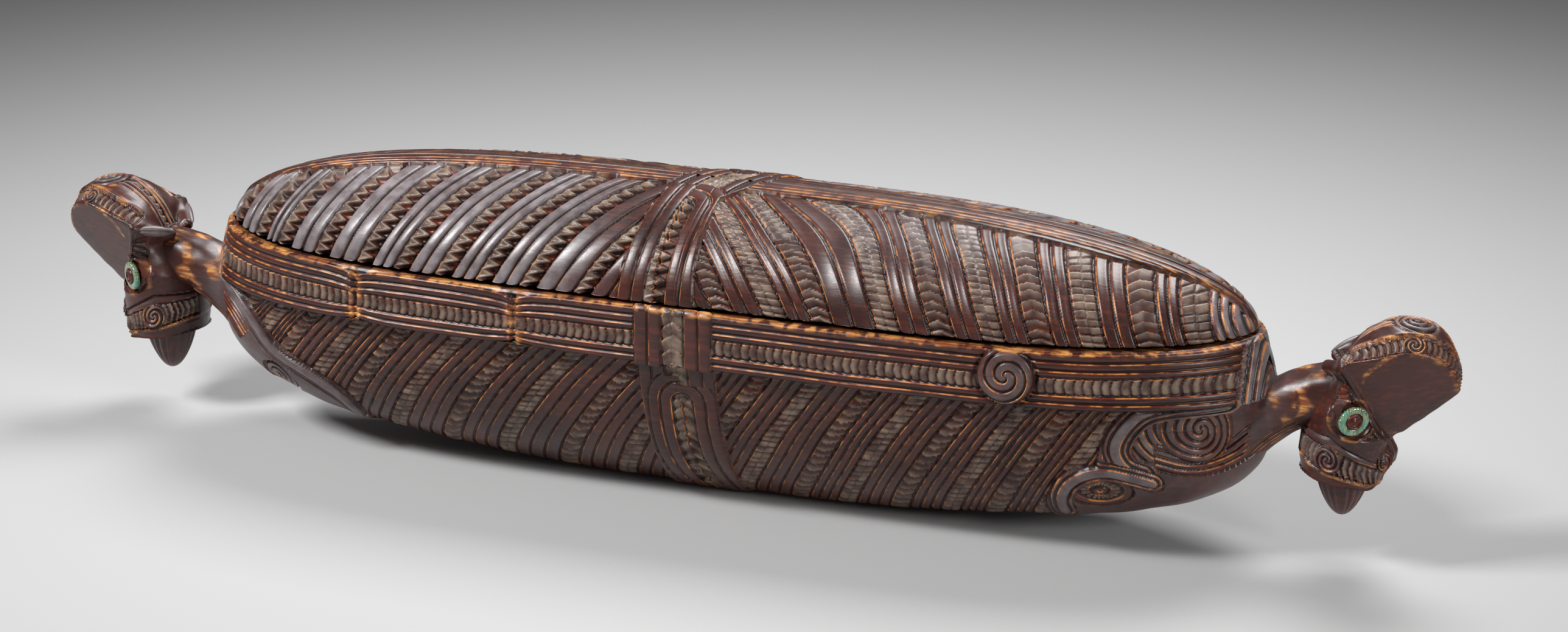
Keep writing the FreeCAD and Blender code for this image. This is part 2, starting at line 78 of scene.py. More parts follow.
# Rows of notches on the near side: where each starts at the rim, in mm from the middle of the box
HULL_LEFT_ROWS = (-213, -200, -187, -171.6, -156, -134, -113.8, -90, -65, -40.3, -13, 12, 37)
HULL_RIGHT_ROWS = (-5, 16, 36, 56.9, 79.5, 98.5, 119.6, 139.3, 156.2, 174, 191, 208, 225)
LID_LEFT_ROWS = (-223, -205, -187, -173.5, -154, -133.5, -116.5, -98.3, -81, -62.5, -39.5, -18, 0)
LID_RIGHT_ROWS = (0, 20.5, 41.5, 60, 86, 107, 126.5, 145.3, 163.6, 183, 199, 217)
LID_FAN_START = 204.0
LID_FAN_PITCH = 2.7
PINCHES = (-135.9, -66.3)
CREST_HALF = 9.4


def power_share(share, first, second):
    """(1 - share^first)^(1 / second), and zero past a share of one."""
    return np.clip(1.0 - np.abs(share) ** first, 0.0, 1.0) ** (1.0 / second)


def ease(value, start, end):
    """0 before start, 1 after end and an S curve between."""
    share = np.clip((value - start) / (end - start), 0.0, 1.0)
    return share * share * (3.0 - 2.0 * share)


def ripple(a, b, size, turn=0.0):
    """Smooth unevenness between about -1 and 1: four crossed sine waves about `size` mm long."""
    a = np.asarray(a) * 2.0 / size
    b = np.asarray(b) * 2.0 / size
    return 0.3 * (np.sin(2.1 * a + 1.3 * b + turn) + np.sin(-1.7 * a + 2.3 * b + 1.9 * turn)
                  + np.sin(3.9 * a - 0.7 * b + 2.3 + turn) + np.sin(0.9 * a + 4.3 * b + 0.6 * turn))


def chance(number):
    """A fixed but disorderly share between 0 and 1 for each whole number."""
    return np.mod(np.sin(number * 12.9898 + 4.137) * 43758.5453, 1.0)


def plan_shares(count):
    """Even steps along a quarter of |x|^4.5 + |y|^1.67 = 1 at the rim's size, from middle to tip."""
    angle = 0.5 * pi * np.linspace(0.0, 1.0, 6001) ** (0.5 * PLAN_LENGTH_POWER)
    x = np.sin(angle) ** (2.0 / PLAN_LENGTH_POWER)
    y = power_share(x, PLAN_LENGTH_POWER, PLAN_WIDTH_POWER)
    y[-1] = 0.0
    run = np.concatenate(([0.0], np.cumsum(np.hypot(RIM_LENGTH * np.diff(x), RIM_WIDTH * np.diff(y)))))
    x = np.interp(np.linspace(0.0, run[-1], count), run, x)
    return x, power_share(x, PLAN_LENGTH_POWER, PLAN_WIDTH_POWER)


def hull_length(depth):
    """Half the hull's length at a depth: a (1 - (d/k)^6)^(1/1.7)."""
    return HULL_LENGTH * power_share(depth / KEEL, KEEL_POWER, KEEL_LENGTH_POWER)


def keel_depth(x):
    """Depth of the keel line below the rim at a distance x, no deeper than the standing flat."""
    return np.minimum(RIM, KEEL * power_share(x / HULL_LENGTH, KEEL_LENGTH_POWER, KEEL_POWER))


def hull_run(depth):
    """Arc length down the hull's middle section from the foot of the rim band."""
    depths = np.linspace(RIM_DEPTH, RIM, 1500)
    half = HULL_WIDTH * np.sqrt(1.0 - (depths / KEEL) ** 2)
    run = np.concatenate(([0.0], np.cumsum(np.hypot(np.diff(depths), np.diff(half)))))
    return np.interp(depth, depths, run)


def crest_height(x):
    """Crest of the lid above the rim: r (1 - (x/a)^3)^(1/2)."""
    return LID_RISE * power_share(x / LID_LENGTH, 3.0, 2.0)


def lid_run(height):
    """Arc length up the lid's middle section from the rim."""
    heights = LID_RISE * np.sin(0.5 * pi * np.linspace(0.0, 1.0, 1500))
    half = LID_WIDTH * np.sqrt(1.0 - (heights / LID_RISE) ** 2)
    run = np.concatenate(([0.0], np.cumsum(np.hypot(np.diff(heights), np.diff(half)))))
    return np.interp(height, heights, run)


# Carving. Each piece of carving is a dict of arrays over the surface, in mm:
# height (outward), ridge (counts grooves: a groove lies at each whole number), width (of a ridge),
# along (distance along the ridges), notch (1 in notched rows), bloom_and_sheen (grey dust bloom, partly
# a painted sheen and highlight) and bare (worn to raw wood).

def plain(like):
    """Uncarved surface, shaped like the given array."""
    zero = np.zeros(np.shape(like))
    return {"height": zero, "ridge": zero + 0.5, "width": zero + 6.0, "along": zero,
            "notch": zero, "bloom_and_sheen": zero, "bare": zero}


def laid_over(under, over, where):
    """One carving over another where the condition holds."""
    return {key: np.where(where, over[key], under[key]) for key in under}


def ridge_height(ridge, width, depth=1.25, cut=1.7, hollow=0.0):
    """Ridges with a V cut at each whole number, round-backed, or with the given share of a hollow back."""
    share = ridge - np.floor(ridge)
    edge = np.minimum(share, 1.0 - share) * width
    groove = np.clip(1.0 - edge / (0.5 * cut), 0.0, 1.0)
    back = (2.0 * share - 1.0) ** 2
    sunk = -0.35 * back * (1.0 - hollow) - 0.45 * (1.0 - back) * hollow
    return -depth * groove + sunk + (0.16 + 0.3 * hollow) * (share - 0.5)


def chevrons(along, across, pitch, way=1.0):
    """Scales one over the next: each rises along the row to a V-shaped lip and drops behind it."""
    place = along / pitch + way * 0.45 * np.abs(across) + 0.12 * ripple(along, across, 9.0)
    share = place - np.floor(place)
    tilt = 0.8 + 0.4 * chance(np.floor(place))
    return -1.6 * tilt * (1.0 - share) ** 0.9 - 0.3 * np.abs(across) ** 3


def squares(along, across, pitch):
    """Two rows of small blocks with a cut between them, each block tipped a little along the row."""
    place = along / pitch + 0.1 * (across > 0) + 0.16 * ripple(along, across, 8.0)
    share = place - np.floor(place)
    cut = np.clip(1.0 - np.minimum(share, 1.0 - share) * pitch / 0.6, 0.0, 1.0)
    middle = np.clip(1.0 - np.abs(across) / 0.12, 0.0, 1.0)
    tip = (0.3 + 0.8 * chance(np.floor(place) + 7.0 * (across > 0))) * (1.0 - share)
    return -0.8 * np.maximum(cut, 0.6 * middle) - tip - 0.35 * np.abs(across) ** 3


def teeth(along, across, pitch, half_width):
    """Deep three-cornered pits along one side of a zigzag, and sloping facets along the other."""
    place = along / pitch + 0.1 * ripple(along, across, 11.0)
    zigzag = 0.75 * (4.0 * np.abs(place - np.floor(place) - 0.5) - 1.0)
    away = (across - zigzag) * half_width
    pit = np.clip((away - 0.2) / 2.3, 0.0, 1.0) ** 0.8
    facet = np.clip((-away - 0.2) / 3.0, 0.0, 1.0)
    return -2.4 * pit - 0.7 * facet


def beads(along, across, pitch=3.4):
    """Small blocks with round shoulders, leaning a little."""
    place = along / pitch + 0.22 * np.abs(across) + 0.08 * ripple(along, across, 12.0)
    share = place - np.floor(place)
    return -1.2 * (1.0 - np.sin(pi * share) ** 0.55) - 0.7 * (1.0 - share) - 0.25 * np.abs(across) ** 3


def row_count(place, starts):
    """Number of rows passed, with its fraction, and the distance between the rows on either side."""
    count = np.zeros(np.shape(place))
    gap = np.full(np.shape(place), starts[1] - starts[0], float)
    for first, second in zip(starts, starts[1:]):
        share = (place - first) / (second - first)
        count += np.clip(share, 0.0, 1.0)
        gap = np.where((share >= 0.0) & (share < 1.0), second - first, gap)
    return count, gap


def slanting_rows(place, along, lean, starts, row_width, ridges, kinds, hollow=0.0):
    """Notched rows with plain ridges between them; lean is the sideways shift per mm of run."""
    count, gap = row_count(place + 0.5 * ripple(place, along, 45.0), starts)
    square = 1.0 / np.sqrt(1.0 + lean ** 2)
    half = 0.5 * row_width / gap
    whole = np.floor(count)
    share = count - whole
    inner = (share - half) / (1.0 - 2.0 * half)
    step = ridges + 1.0
    ridge = step * whole + np.where(share < half, 0.5 + 0.5 * share / half,
                                    np.where(inner > 1.0, step + 0.5 * (share - 1.0 + half) / half,
                                             1.0 + ridges * inner))
    in_row = (share < half) | (inner > 1.0)
    width = np.where(in_row, row_width, gap * (1.0 - 2.0 * half) / ridges) * square
    nearest = np.floor(count + 0.5)
    across = (count - nearest) / half
    down = along / square
    notched = kinds(nearest, down, across)
    edge = np.clip(1.0 - (1.0 - np.abs(across)) * 0.5 * width / 0.8, 0.0, 1.0)
    carving = plain(place)
    carving["height"] = np.where(in_row, notched - 0.8 * edge, ridge_height(ridge, width, hollow=hollow))
    carving["ridge"] = ridge
    carving["width"] = width
    carving["along"] = down
    carving["notch"] = np.where(in_row, 1.0, 0.0)
    return carving


def lengthwise(offset, edges, along, row, notched):
    """Ridges between the given edges, with a notched row in the interval that starts at number `row`."""
    ridge = np.interp(offset, edges, np.arange(len(edges), dtype=float))
    number = np.clip(np.floor(ridge), 0, len(edges) - 2).astype(int)
    width = np.diff(np.array(edges))[number]
    in_row = number == row
    across = 2.0 * (ridge - number) - 1.0
    carving = plain(offset)
    carving["height"] = np.where(in_row, notched(along, across), ridge_height(ridge, width, 1.0, 1.3))
    carving["ridge"] = ridge
    carving["width"] = width
    carving["along"] = along
    carving["notch"] = np.where(in_row, 1.0, 0.0)
    return carving


def spiral(right, up, pitch, arms, radius, sense=1.0, depth=1.1):
    """Ridges that wind out from the middle: groove count = radius / pitch + arms * angle / turn."""
    out = np.hypot(right, up)
    angle = np.arctan2(up, right)
    carving = plain(right)
    carving["ridge"] = out / pitch + sense * arms * angle / (2.0 * pi) + 8.0
    carving["width"] = np.full(np.shape(right), pitch)
    carving["along"] = out * angle
    carving["height"] = ridge_height(carving["ridge"], carving["width"], depth, 1.4)
    carving["bloom_and_sheen"] = 0.25 * ease(radius - out, 0.0, 2.0)
    return carving


def rounded(points, passes=2):
    """Cuts each corner of a bent line at a quarter of its sides, a few times over."""
    for _ in range(passes):
        cut = [points[0]]
        for (x1, y1), (x2, y2) in zip(points, points[1:]):
            cut += [(0.75 * x1 + 0.25 * x2, 0.75 * y1 + 0.25 * y2),
                    (0.25 * x1 + 0.75 * x2, 0.25 * y1 + 0.75 * y2)]
        points = cut + [points[-1]]
    return points


def near_path(x, y, points):
    """Distance from points of the surface to a bent line, how far along it the nearest place lies,
    and the side of it that they are on."""
    best = np.full(np.shape(x), 1e9)
    along = np.zeros(np.shape(x))
    side = np.zeros(np.shape(x))
    run = 0.0
    for (x1, y1), (x2, y2) in zip(points, points[1:]):
        length = np.hypot(x2 - x1, y2 - y1)
        share = np.clip(((x - x1) * (x2 - x1) + (y - y1) * (y2 - y1)) / length ** 2, 0.0, 1.0)
        gap_x, gap_y = x - x1 - share * (x2 - x1), y - y1 - share * (y2 - y1)
        away = np.hypot(gap_x, gap_y)
        nearer = away < best
        best = np.where(nearer, away, best)
        along = np.where(nearer, run + share * length, along)
        side = np.where(nearer, np.sign((x2 - x1) * gap_y - (y2 - y1) * gap_x), side)
        run += length
    return best, along, side


# Box carving

HULL_CHEVRON_PITCH = 4.3
HULL_SQUARE_PITCH = 3.4
WAIST_CHEVRON_PITCH = 5.2
WAIST_HALF = 15.9
ARCH_TOP = 34.0


def hull_kinds(number, down, across):
    """Rows of chevrons and rows of small squares by turns."""
    return np.where(np.mod(number, 2) == 0, chevrons(down, across, HULL_CHEVRON_PITCH),
                    squares(down, across, HULL_SQUARE_PITCH))


def hull_rows(x, run):
    """Slanting rows of the left and right halves, which both drift to the left on their way down."""
    left_shift = 1.05 * run - 0.0055 * run ** 2
    right_shift = 0.8 * run - 0.003 * run ** 2
    left = slanting_rows(x + left_shift, run, 1.05 - 0.011 * run, HULL_LEFT_ROWS, 8.5, 3, hull_kinds, 1.0)
    right = slanting_rows(x + right_shift, run, 0.8 - 0.006 * run, HULL_RIGHT_ROWS, 8.0, 3, hull_kinds, 1.0)
    return laid_over(left, right, x > 0)


def box_waist(x, depth):
    """Band down the middle of the box: two ridges, a notched row and two ridges, then an arch below."""
    strip = lengthwise(x, (-15.8, -10.0, -4.4, 4.6, 10.6, 16.2), depth, 2,
                       lambda along, across: chevrons(-along, across, WAIST_CHEVRON_PITCH))
    below = depth - ARCH_TOP
    middle = 1.6 - 0.05 * np.clip(below, 0, 30) + 0.0045 * np.clip(below - 14.0, 0, 60) ** 2 * 0.6
    out = np.where(below > 5.0, np.abs(x - middle), np.hypot(x - middle, below - 5.0))
    arch = lengthwise(out, (0.0, 4.2, 9.4, 14.6, 20.0), depth, 0,
                      lambda along, across: chevrons(-along, 0.5 * (across + 1.0), WAIST_CHEVRON_PITCH))
    return laid_over(strip, arch, (below > -7.0) & (out < 14.6) & ((x < 1.6) | (below > -3.0)))


def waist_lift(x, half=15.8):
    """The middle band stands 1 mm proud of its surroundings."""
    return 1.0 - ease(np.abs(x), half - 0.6, half + 0.4)


# Figures at the hull's ends, in mm from the middle of the box and below the rim
SPIRAL_PLACE = (200.0, 31.5)
SPIRAL_RADIUS = 14.2
ALMOND_PLACE = (162.8, 59.0)
ALMOND_REACH = 8.2
LIMB_REACH = 5.6
THIGH_REACH = 4.6
LIMB = rounded(((207.0, 20.0), (190.0, 20.5), (180.0, 23.0), (173.5, 30.5), (169.8, 39.0), (173.0, 47.0),
                (179.0, 49.5)))
THIGH = rounded(((147.0, 70.0), (147.5, 62.0), (153.6, 52.5), (165.1, 48.2), (174.5, 50.6), (182.0, 53.5)))
LEFT_LIMB = rounded(((212.0, 23.0), (203.0, 25.0), (192.0, 34.0), (183.0, 46.5), (165.5, 53.0),
                     (152.0, 61.5), (149.0, 70.0)))
LEFT_SPIRAL_PLACE = (185.4, 61.0)
LEFT_SPIRAL_RADIUS = 9.5
LEG = rounded(((184.0, 42.0), (196.0, 47.0), (208.0, 44.0), (216.0, 37.0)))


def shaded_limb(away, along, side):
    """A smooth swelling band with thin ridges beside it, about the line that `away` is measured from.
    A grey bloom lies over it, with a painted sheen strongest along its swelling middle.
    """
    limb = lengthwise(away * side + 6.0, (0.0, 1.9, 3.9, 8.6, 10.6, 12.5), along, 9, beads)
    swell = power_share(np.minimum(away / 2.4, 1.0), 2.0, 2.0)
    limb["height"] = limb["height"] + 0.9 + 0.8 * swell
    limb["bloom_and_sheen"] = 0.25 + 0.25 * swell
    return limb


def figure_body(x, depth):
    """Uneven hewn surface between the figures' carving."""
    body = plain(x)
    body["height"] = 0.6 - 0.5 * ripple(np.abs(x), depth, 26.0)
    body["bloom_and_sheen"] = body["bloom_and_sheen"] + 0.1
    return body


def right_figure(x, depth, stretch):
    """Figure at the right end: a big spiral shoulder under a sweeping limb, and an almond-shaped haunch."""
    away, along, side = near_path(x, depth, LIMB)
    right = (x - SPIRAL_PLACE[0]) * stretch
    down = depth - SPIRAL_PLACE[1]
    out = np.hypot(right, down)
    shoulder = spiral(right, -down, 3.1, 2.0, 14.0, 1.0, 1.3)
    tail = spiral(right + 4.0, -down - 2.0, 3.3, 1.0, 26.0, 1.0, 1.2)
    tail["notch"] = np.where(np.mod(tail["ridge"], 2.0) < 1.0, 0.8, 0.0)
    carving = laid_over(figure_body(x, depth), tail, (side < 0) & (depth < 44.0) & (x < 196.0))
    carving = laid_over(carving, shoulder, out < SPIRAL_RADIUS)
    leg_away, leg_along, _ = near_path(x, depth, LEG)
    leg = lengthwise(leg_away, (0.0, 2.7, 5.4, 8.0), leg_along, 9, beads)
    carving = laid_over(carving, leg, (leg_away < 5.4) & (out > SPIRAL_RADIUS) & (x > 184.0))
    almond_right = x - ALMOND_PLACE[0]
    almond_down = depth - ALMOND_PLACE[1]
    eye = np.hypot(almond_right / 1.55, almond_down + 0.1 * almond_right)
    almond = lengthwise(eye, (0.0, 2.2, 5.2, 8.2, 11.0), 9.0 * np.arctan2(almond_down, almond_right), 1,
                        lambda along, across: beads(along, across, 3.0))
    carving = laid_over(carving, almond, (eye < ALMOND_REACH) & (depth > 46.0))
    for path, reach in ((LIMB, LIMB_REACH), (THIGH, THIGH_REACH)):
        away, along, side = near_path(x, depth, path)
        carving = laid_over(carving, shaded_limb(away, along, side), away < reach)
    return carving


def left_figure(end, depth, stretch):
    """Figure at the left end: a long limb from neck to keel, curved ridges behind it, a low spiral."""
    away, along, side = near_path(end, depth, LEFT_LIMB)
    ridges = lengthwise(away, (0.0, 5.6, 8.2, 10.8, 13.6, 16.4, 19.0), along, 9, beads)
    carving = laid_over(figure_body(end, depth), ridges, (away < 16.4) & (along < 26.0) & (depth < 52.0))
    right = (end - LEFT_SPIRAL_PLACE[0]) * stretch
    down = depth - LEFT_SPIRAL_PLACE[1]
    curl = spiral(right, -down, 3.0, 2.0, LEFT_SPIRAL_RADIUS, 1.0, 1.3)
    carving = laid_over(carving, curl, np.hypot(right, down) < LEFT_SPIRAL_RADIUS)
    return laid_over(carving, shaded_limb(away, along, side), away < LIMB_REACH)


def figure_side(x, depth):
    """Positive inside the outline of the end figures, in mm: beyond the limb and below the thigh."""
    right_edge = np.interp(depth, (20.0, 22.0, 30.0, 40.0, 47.0, 50.0, 56.0, 66.0, 88.0),
                           (196.0, 176.0, 168.5, 164.5, 163.0, 152.0, 146.0, 141.5, 139.0))
    left_edge = np.interp(depth, (20.0, 25.0, 34.0, 42.0, 46.0, 52.0, 56.0, 59.0, 67.0, 88.0),
                          (202.0, 198.0, 189.0, 182.0, 174.0, 162.0, 155.0, 150.0, 147.0, 146.0))
    return np.abs(x) - np.where(x > 0, right_edge, left_edge)


def hull_carving(x, depth, run):
    """Slanting rows, the end figures with a cut round them, and the middle band; worn flat below."""
    stretch = np.sqrt(1.0 + 1.2 * ease(np.abs(x), 185.0, 212.0))
    carving = hull_rows(x, run)
    carving["height"] = carving["height"] - 0.1
    inside = figure_side(x, depth)
    figure = laid_over(left_figure(-x, depth, stretch), right_figure(x, depth, stretch), x > 0)
    carving = laid_over(carving, figure, inside > 0.0)
    carving["height"] = carving["height"] - 0.9 * np.exp(-(inside / 0.9) ** 2)
    carving = laid_over(carving, box_waist(x, depth), np.abs(x) < WAIST_HALF)
    worn = ease(depth, 80.0, 85.8)
    carving["height"] = carving["height"] * (1.0 - 0.8 * worn)
    carving["height"] = carving["height"] * (1.0 - ease(np.abs(x), 214.0, 219.0)) + waist_lift(x)
    carving["bare"] = 0.25 * worn
    return carving


BOSS_PLACE = (131.7, 10.6)
BOSS_RADIUS = 11.2
BOSS_PITCH = 3.9
RIM_NOTCH_MIDDLE = 13.2
RIM_EDGES = (0.0, 3.7, 7.0, 9.9, 16.4, 19.5, 22.6)


def rim_carving(x, depth):
    """Ridges along the rim band, pinched at two places, with a spiral boss and a notched row."""
    pinch = np.zeros(np.shape(x))
    cut = np.zeros(np.shape(x))
    for place in PINCHES:
        pinch = pinch + np.exp(-np.abs(x - place) / 6.0)
        cut = cut + np.exp(-((x - place) / 1.1) ** 2)
    offset = depth - RIM_NOTCH_MIDDLE
    level = RIM_NOTCH_MIDDLE + offset * (1.0 + 0.3 * pinch * ease(np.abs(offset), 0.0, 3.0))
    level = level + 0.25 * ripple(x, depth, 60.0)
    carving = lengthwise(np.clip(level, 0.01, RIM_EDGES[-1] - 0.01), RIM_EDGES, x, 3,
                         lambda along, across: beads(along * np.where(x < 0, 1.0, -1.0), across, 3.4))
    carving["height"] = carving["height"] - 0.9 * cut * (depth > 2.0)
    knot = np.exp(-((np.min([np.abs(x - place) for place in PINCHES], axis=0) - 1.6) / 1.5) ** 2)
    carving["height"] = carving["height"] + 0.5 * knot
    carving["bare"] = np.maximum(carving["bare"], 0.8 * knot)
    end = lengthwise(np.abs(x), (209.0, 211.5, 213.5, 216.0, 218.5, 223.0), depth, 1,
                     lambda along, across: beads(along, across, 2.6))
    end["bloom_and_sheen"] = end["bloom_and_sheen"] + 0.7
    carving = laid_over(carving, end, np.abs(x) > 211.5)
    boss_right = (x - BOSS_PLACE[0]) * 1.03
    out = np.hypot(boss_right, depth - BOSS_PLACE[1])
    boss = spiral(boss_right, BOSS_PLACE[1] - depth, BOSS_PITCH, 2.0, BOSS_RADIUS - 0.2, 1.0, 1.2)
    boss["height"] = boss["height"] + 1.5 * ease(BOSS_RADIUS - out, 0.0, 1.2)
    carving = laid_over(carving, boss, out < BOSS_RADIUS)
    carving["height"] = carving["height"] - np.exp(-((out - BOSS_RADIUS - 0.4) / 0.6) ** 2)
    carving = laid_over(carving, box_waist(x, depth), np.abs(x) < WAIST_HALF)
    carving["height"] = carving["height"] * (0.35 + 0.65 * ease(depth, 1.0, 2.6)) + waist_lift(x)
    carving["bare"] = np.maximum(carving["bare"], 1.0 - ease(depth, 0.6, 2.2))
    return carving


# Lid carving

LID_ARCH_TOP = 46.0
LEFT_TEETH_PITCH = 4.8
LEFT_TEETH_HALF = 3.3
RIGHT_SQUARE_PITCH = 3.3
RIGHT_CHEVRON_PITCH = 4.0


def lid_waist_left(run):
    """Left edge of the lid's middle band."""
    return -23.8 + 0.09 * run


def lid_waist(x, run):
    """Band over the middle of the lid: the left pair goes over the crest, the right one round an arch."""
    left = lid_waist_left(run)
    offset = x - left
    middle = -8.8 + 0.02 * run
    out = np.where(run < LID_ARCH_TOP, np.abs(x - middle), np.hypot(x - middle, run - LID_ARCH_TOP))
    pair = lengthwise(offset, (0.0, 5.5, 11.0, 16.0), run, 9, beads)
    arch = lengthwise(out, (0.0, 4.4, 10.4, 16.6, 20.0), run, 0,
                      lambda along, across: teeth(along, 0.5 * (across + 1.0) * np.sign(x - middle),
                                                  5.0, 4.5))
    upper_middle = np.interp(run, (46.0, 56.0, 71.0), (-9.0, -5.0, -0.6))
    upper = lengthwise(x - upper_middle, (-16.6, -11.0, -5.2, 4.9, 10.6, 16.6), run, 2,
                       lambda along, across: squares(along, across, 3.4))
    carving = laid_over(upper, arch, ((out < 16.6) & (x > left + 11.0) & (run < 62.0)) | (run < 44.0))
    return laid_over(carving, pair, (offset < 11.0) & (run < 60.0))


def lid_waist_right(run):
    """Right edge of the lid's middle band."""
    return np.interp(run, (0.0, 18.0, 34.0, 52.0, 62.0, 72.0), (7.8, 6.1, 5.5, 5.0, 12.0, 16.0))


def lid_rows(x, run):
    """Rows of the left half, which lean out as they rise, of the right half and of the fan at its end."""
    left_shift = run * (0.68 - 0.0017 * (-x)) * 0.95
    right_lean = 0.36 + 0.0055 * run + 0.25 * ease(75.0 - x, 0.0, 50.0)
    right_shift = run * (0.36 + 0.0027 * run + 0.25 * ease(75.0 - x, 0.0, 50.0))

    def left_kinds(_, down, across):
        return teeth(down, across, LEFT_TEETH_PITCH, LEFT_TEETH_HALF)

    def right_kinds(number, down, across):
        return np.where(np.mod(number, 2) == 0, squares(down, across, RIGHT_SQUARE_PITCH),
                        chevrons(down, across, RIGHT_CHEVRON_PITCH))

    left = slanting_rows(x - left_shift, run, 0.6, LID_LEFT_ROWS, 7.2, 2, left_kinds)
    right = slanting_rows(x + right_shift, run, right_lean, LID_RIGHT_ROWS, 9.2, 2, right_kinds, 1.0)
    # Grey on the plain ridges of the left half: partly a dust bloom, partly a painted sheen of the lamp on
    # their polish.
    bloom_and_sheen = ease(-x, 20.0, 60.0) * (1.0 - left["notch"]) * (0.85 + 0.3 * ripple(x, run, 30.0))
    left["bloom_and_sheen"] = np.clip(bloom_and_sheen, 0.0, 1.0)
    patch = np.exp(-((x - 95.0) / 45.0) ** 2) * np.exp(-((run - 48.0) / 16.0) ** 2)
    right["bloom_and_sheen"] = 0.55 * patch * (0.4 + 0.6 * right["notch"])
    fan = plain(x)
    fan_place = x + 1.15 * right_shift
    fan["ridge"] = (fan_place - LID_FAN_START) / LID_FAN_PITCH + 1.0
    fan["width"] = np.full(np.shape(x), LID_FAN_PITCH)
    fan["height"] = ridge_height(fan["ridge"], fan["width"])
    fan["bloom_and_sheen"] = fan["bloom_and_sheen"] + 0.7
    right = laid_over(right, fan, fan_place > LID_FAN_START)
    return laid_over(left, right, x > lid_waist_right(run) - 4.0)


def crest_carving(x, y):
    """Fine lines along the crest band."""
    edges = (0.0, 2.2, 5.2, 9.6, 14.0, 17.0, 19.2)
    carving = lengthwise(np.clip(y + 9.6, 0.01, edges[-1] - 0.01), edges, x, 9, beads)
    carving["height"] = 0.45 * carving["height"] + 0.9
    carving["bare"] = np.clip(0.1 + 0.2 * ripple(x, y, 40.0), 0.0, 1.0)
    return carving


def lid_carving(x, y, run, height):
    """Rows, crest band and middle band, faded out towards the tip and the rim."""
    carving = lid_rows(x, run)
    taper = 1.0 - 0.75 * ease(np.abs(x), 155.0, 206.0)
    edge = -y - CREST_HALF * taper - 2.5 * ease(x, 20.0, 150.0) * taper
    on_crest = edge < 0.0
    carving = laid_over(carving, crest_carving(x, y), on_crest)
    carving["height"] = carving["height"] - 0.9 * np.exp(-((edge - 0.4) / 0.7) ** 2)
    start, end = lid_waist_left(run), lid_waist_right(run)
    lift = ease(x, start - 0.5, start + 0.5) * (1.0 - ease(x, end - 0.5, end + 0.5))
    carving = laid_over(carving, lid_waist(x, run), (x > start) & (x < end))
    carving["height"] = carving["height"] + 0.9 * lift
    fade = 1.0 - ease(np.abs(x), 206.0, 211.0)
    carving["height"] = carving["height"] * fade
    low = ease(height, 0.0, 1.0)
    carving["height"] = carving["height"] * (0.5 + 0.5 * low)
    return carving


# Meshes

def outward_normals(points, sign, way):
    """Unit normals of a grid, kept in the middle plane of the box along its first and last column."""
    along = np.gradient(points, axis=1)
    up = np.gradient(points, axis=0)
    normal = np.cross(along, up) * way
    length = np.linalg.norm(normal, axis=2, keepdims=True)
    normal = normal / np.maximum(length, 1e-9)
    normal[:, 0, 0] = 0.0
    normal[:, -1, :] = (sign, 0.0, 0.0)
    return normal / np.maximum(np.linalg.norm(normal, axis=2, keepdims=True), 1e-9)


def grid_faces(rows, columns, flip):
    """Four-cornered faces between neighbouring rows and columns."""
    corner = (np.arange(rows - 1)[:, None] * columns + np.arange(columns - 1)[None, :]).ravel()
    quads = np.stack([corner, corner + 1, corner + columns + 1, corner + columns], axis=1)
    return quads[:, ::-1] if flip else quads


def make_piece(name, points, faces, body, carving=None):
    """Mesh in metres from points in mm, cleaned of doubled points, with the carving kept as attributes."""
    mesh = bpy.data.meshes.new(name)
    mesh.from_pydata((points.reshape(-1, 3) * MM).tolist(), [], faces)
    if carving is not None:
        # The second attribute holds the notched rows, the grey bloom with its painted sheen, and the wear to
        # raw wood.
        for label, keys in (("carve", ("ridge", "along", "width")), ("finish_and_sheen", ("notch", "bloom_and_sheen", "bare")),
                            ("relief", ("height", "height", "height"))):
            attribute = mesh.attributes.new(label, "FLOAT_VECTOR", "POINT")
            values = np.stack([np.ravel(carving[key]) for key in keys], axis=1).astype(np.float32)
            attribute.data.foreach_set("vector", values.ravel())
    work = bmesh.new()
    work.from_mesh(mesh)
    bmesh.ops.remove_doubles(work, verts=work.verts, dist=2e-6)
    bmesh.ops.dissolve_degenerate(work, edges=work.edges, dist=1e-7)
    bmesh.ops.recalc_face_normals(work, faces=work.faces)
    work.to_mesh(mesh)
    work.free()
    mesh.polygons.foreach_set("use_smooth", np.full(len(mesh.polygons), True))
    mesh.update()
    piece = bpy.data.objects.new(name, mesh)
    bpy.context.scene.collection.objects.link(piece)
    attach(piece, body)
    return piece


def both_sides(name, points, carving, sign, body):
    """A near-side piece, and its copy turned half round about Z for the far side at the other end."""
    rows, columns = points.shape[:2]
    faces = grid_faces(rows, columns, sign < 0).tolist()
    first = (np.arange(rows) * columns).tolist()
    last = (np.arange(rows) * columns + columns - 1).tolist()
    faces += [first[::-1], last] if sign > 0 else [first, last[::-1]]
    turned = points * np.array([-1.0, -1.0, 1.0])
    side = "right" if sign > 0 else "left"
    other = "left" if sign > 0 else "right"
    return [make_piece(name + "_near_" + side, points, faces, body, carving),
            make_piece(name + "_far_" + other, turned, faces, body, carving)]


def joined_rows(parts):
    """Stacks row blocks of one profile: (points, carving) pairs become one of each."""
    points = np.concatenate([part[0] for part in parts])
    carving = {key: np.concatenate([part[1][key] for part in parts]) for key in parts[0][1]}
    return points, carving


def bare_rows(levels, x_share, y_share, sign, bare):
    """Rows without carving at the given (half length, half width, depth below the rim)."""
    points = np.stack([np.stack([sign * length * x_share, -width * y_share,
                                 np.full(len(x_share), RIM - depth)], axis=1)
                       for length, width, depth in levels])
    carving = plain(points[..., 0])
    carving["bare"] = carving["bare"] + bare
    return points, carving


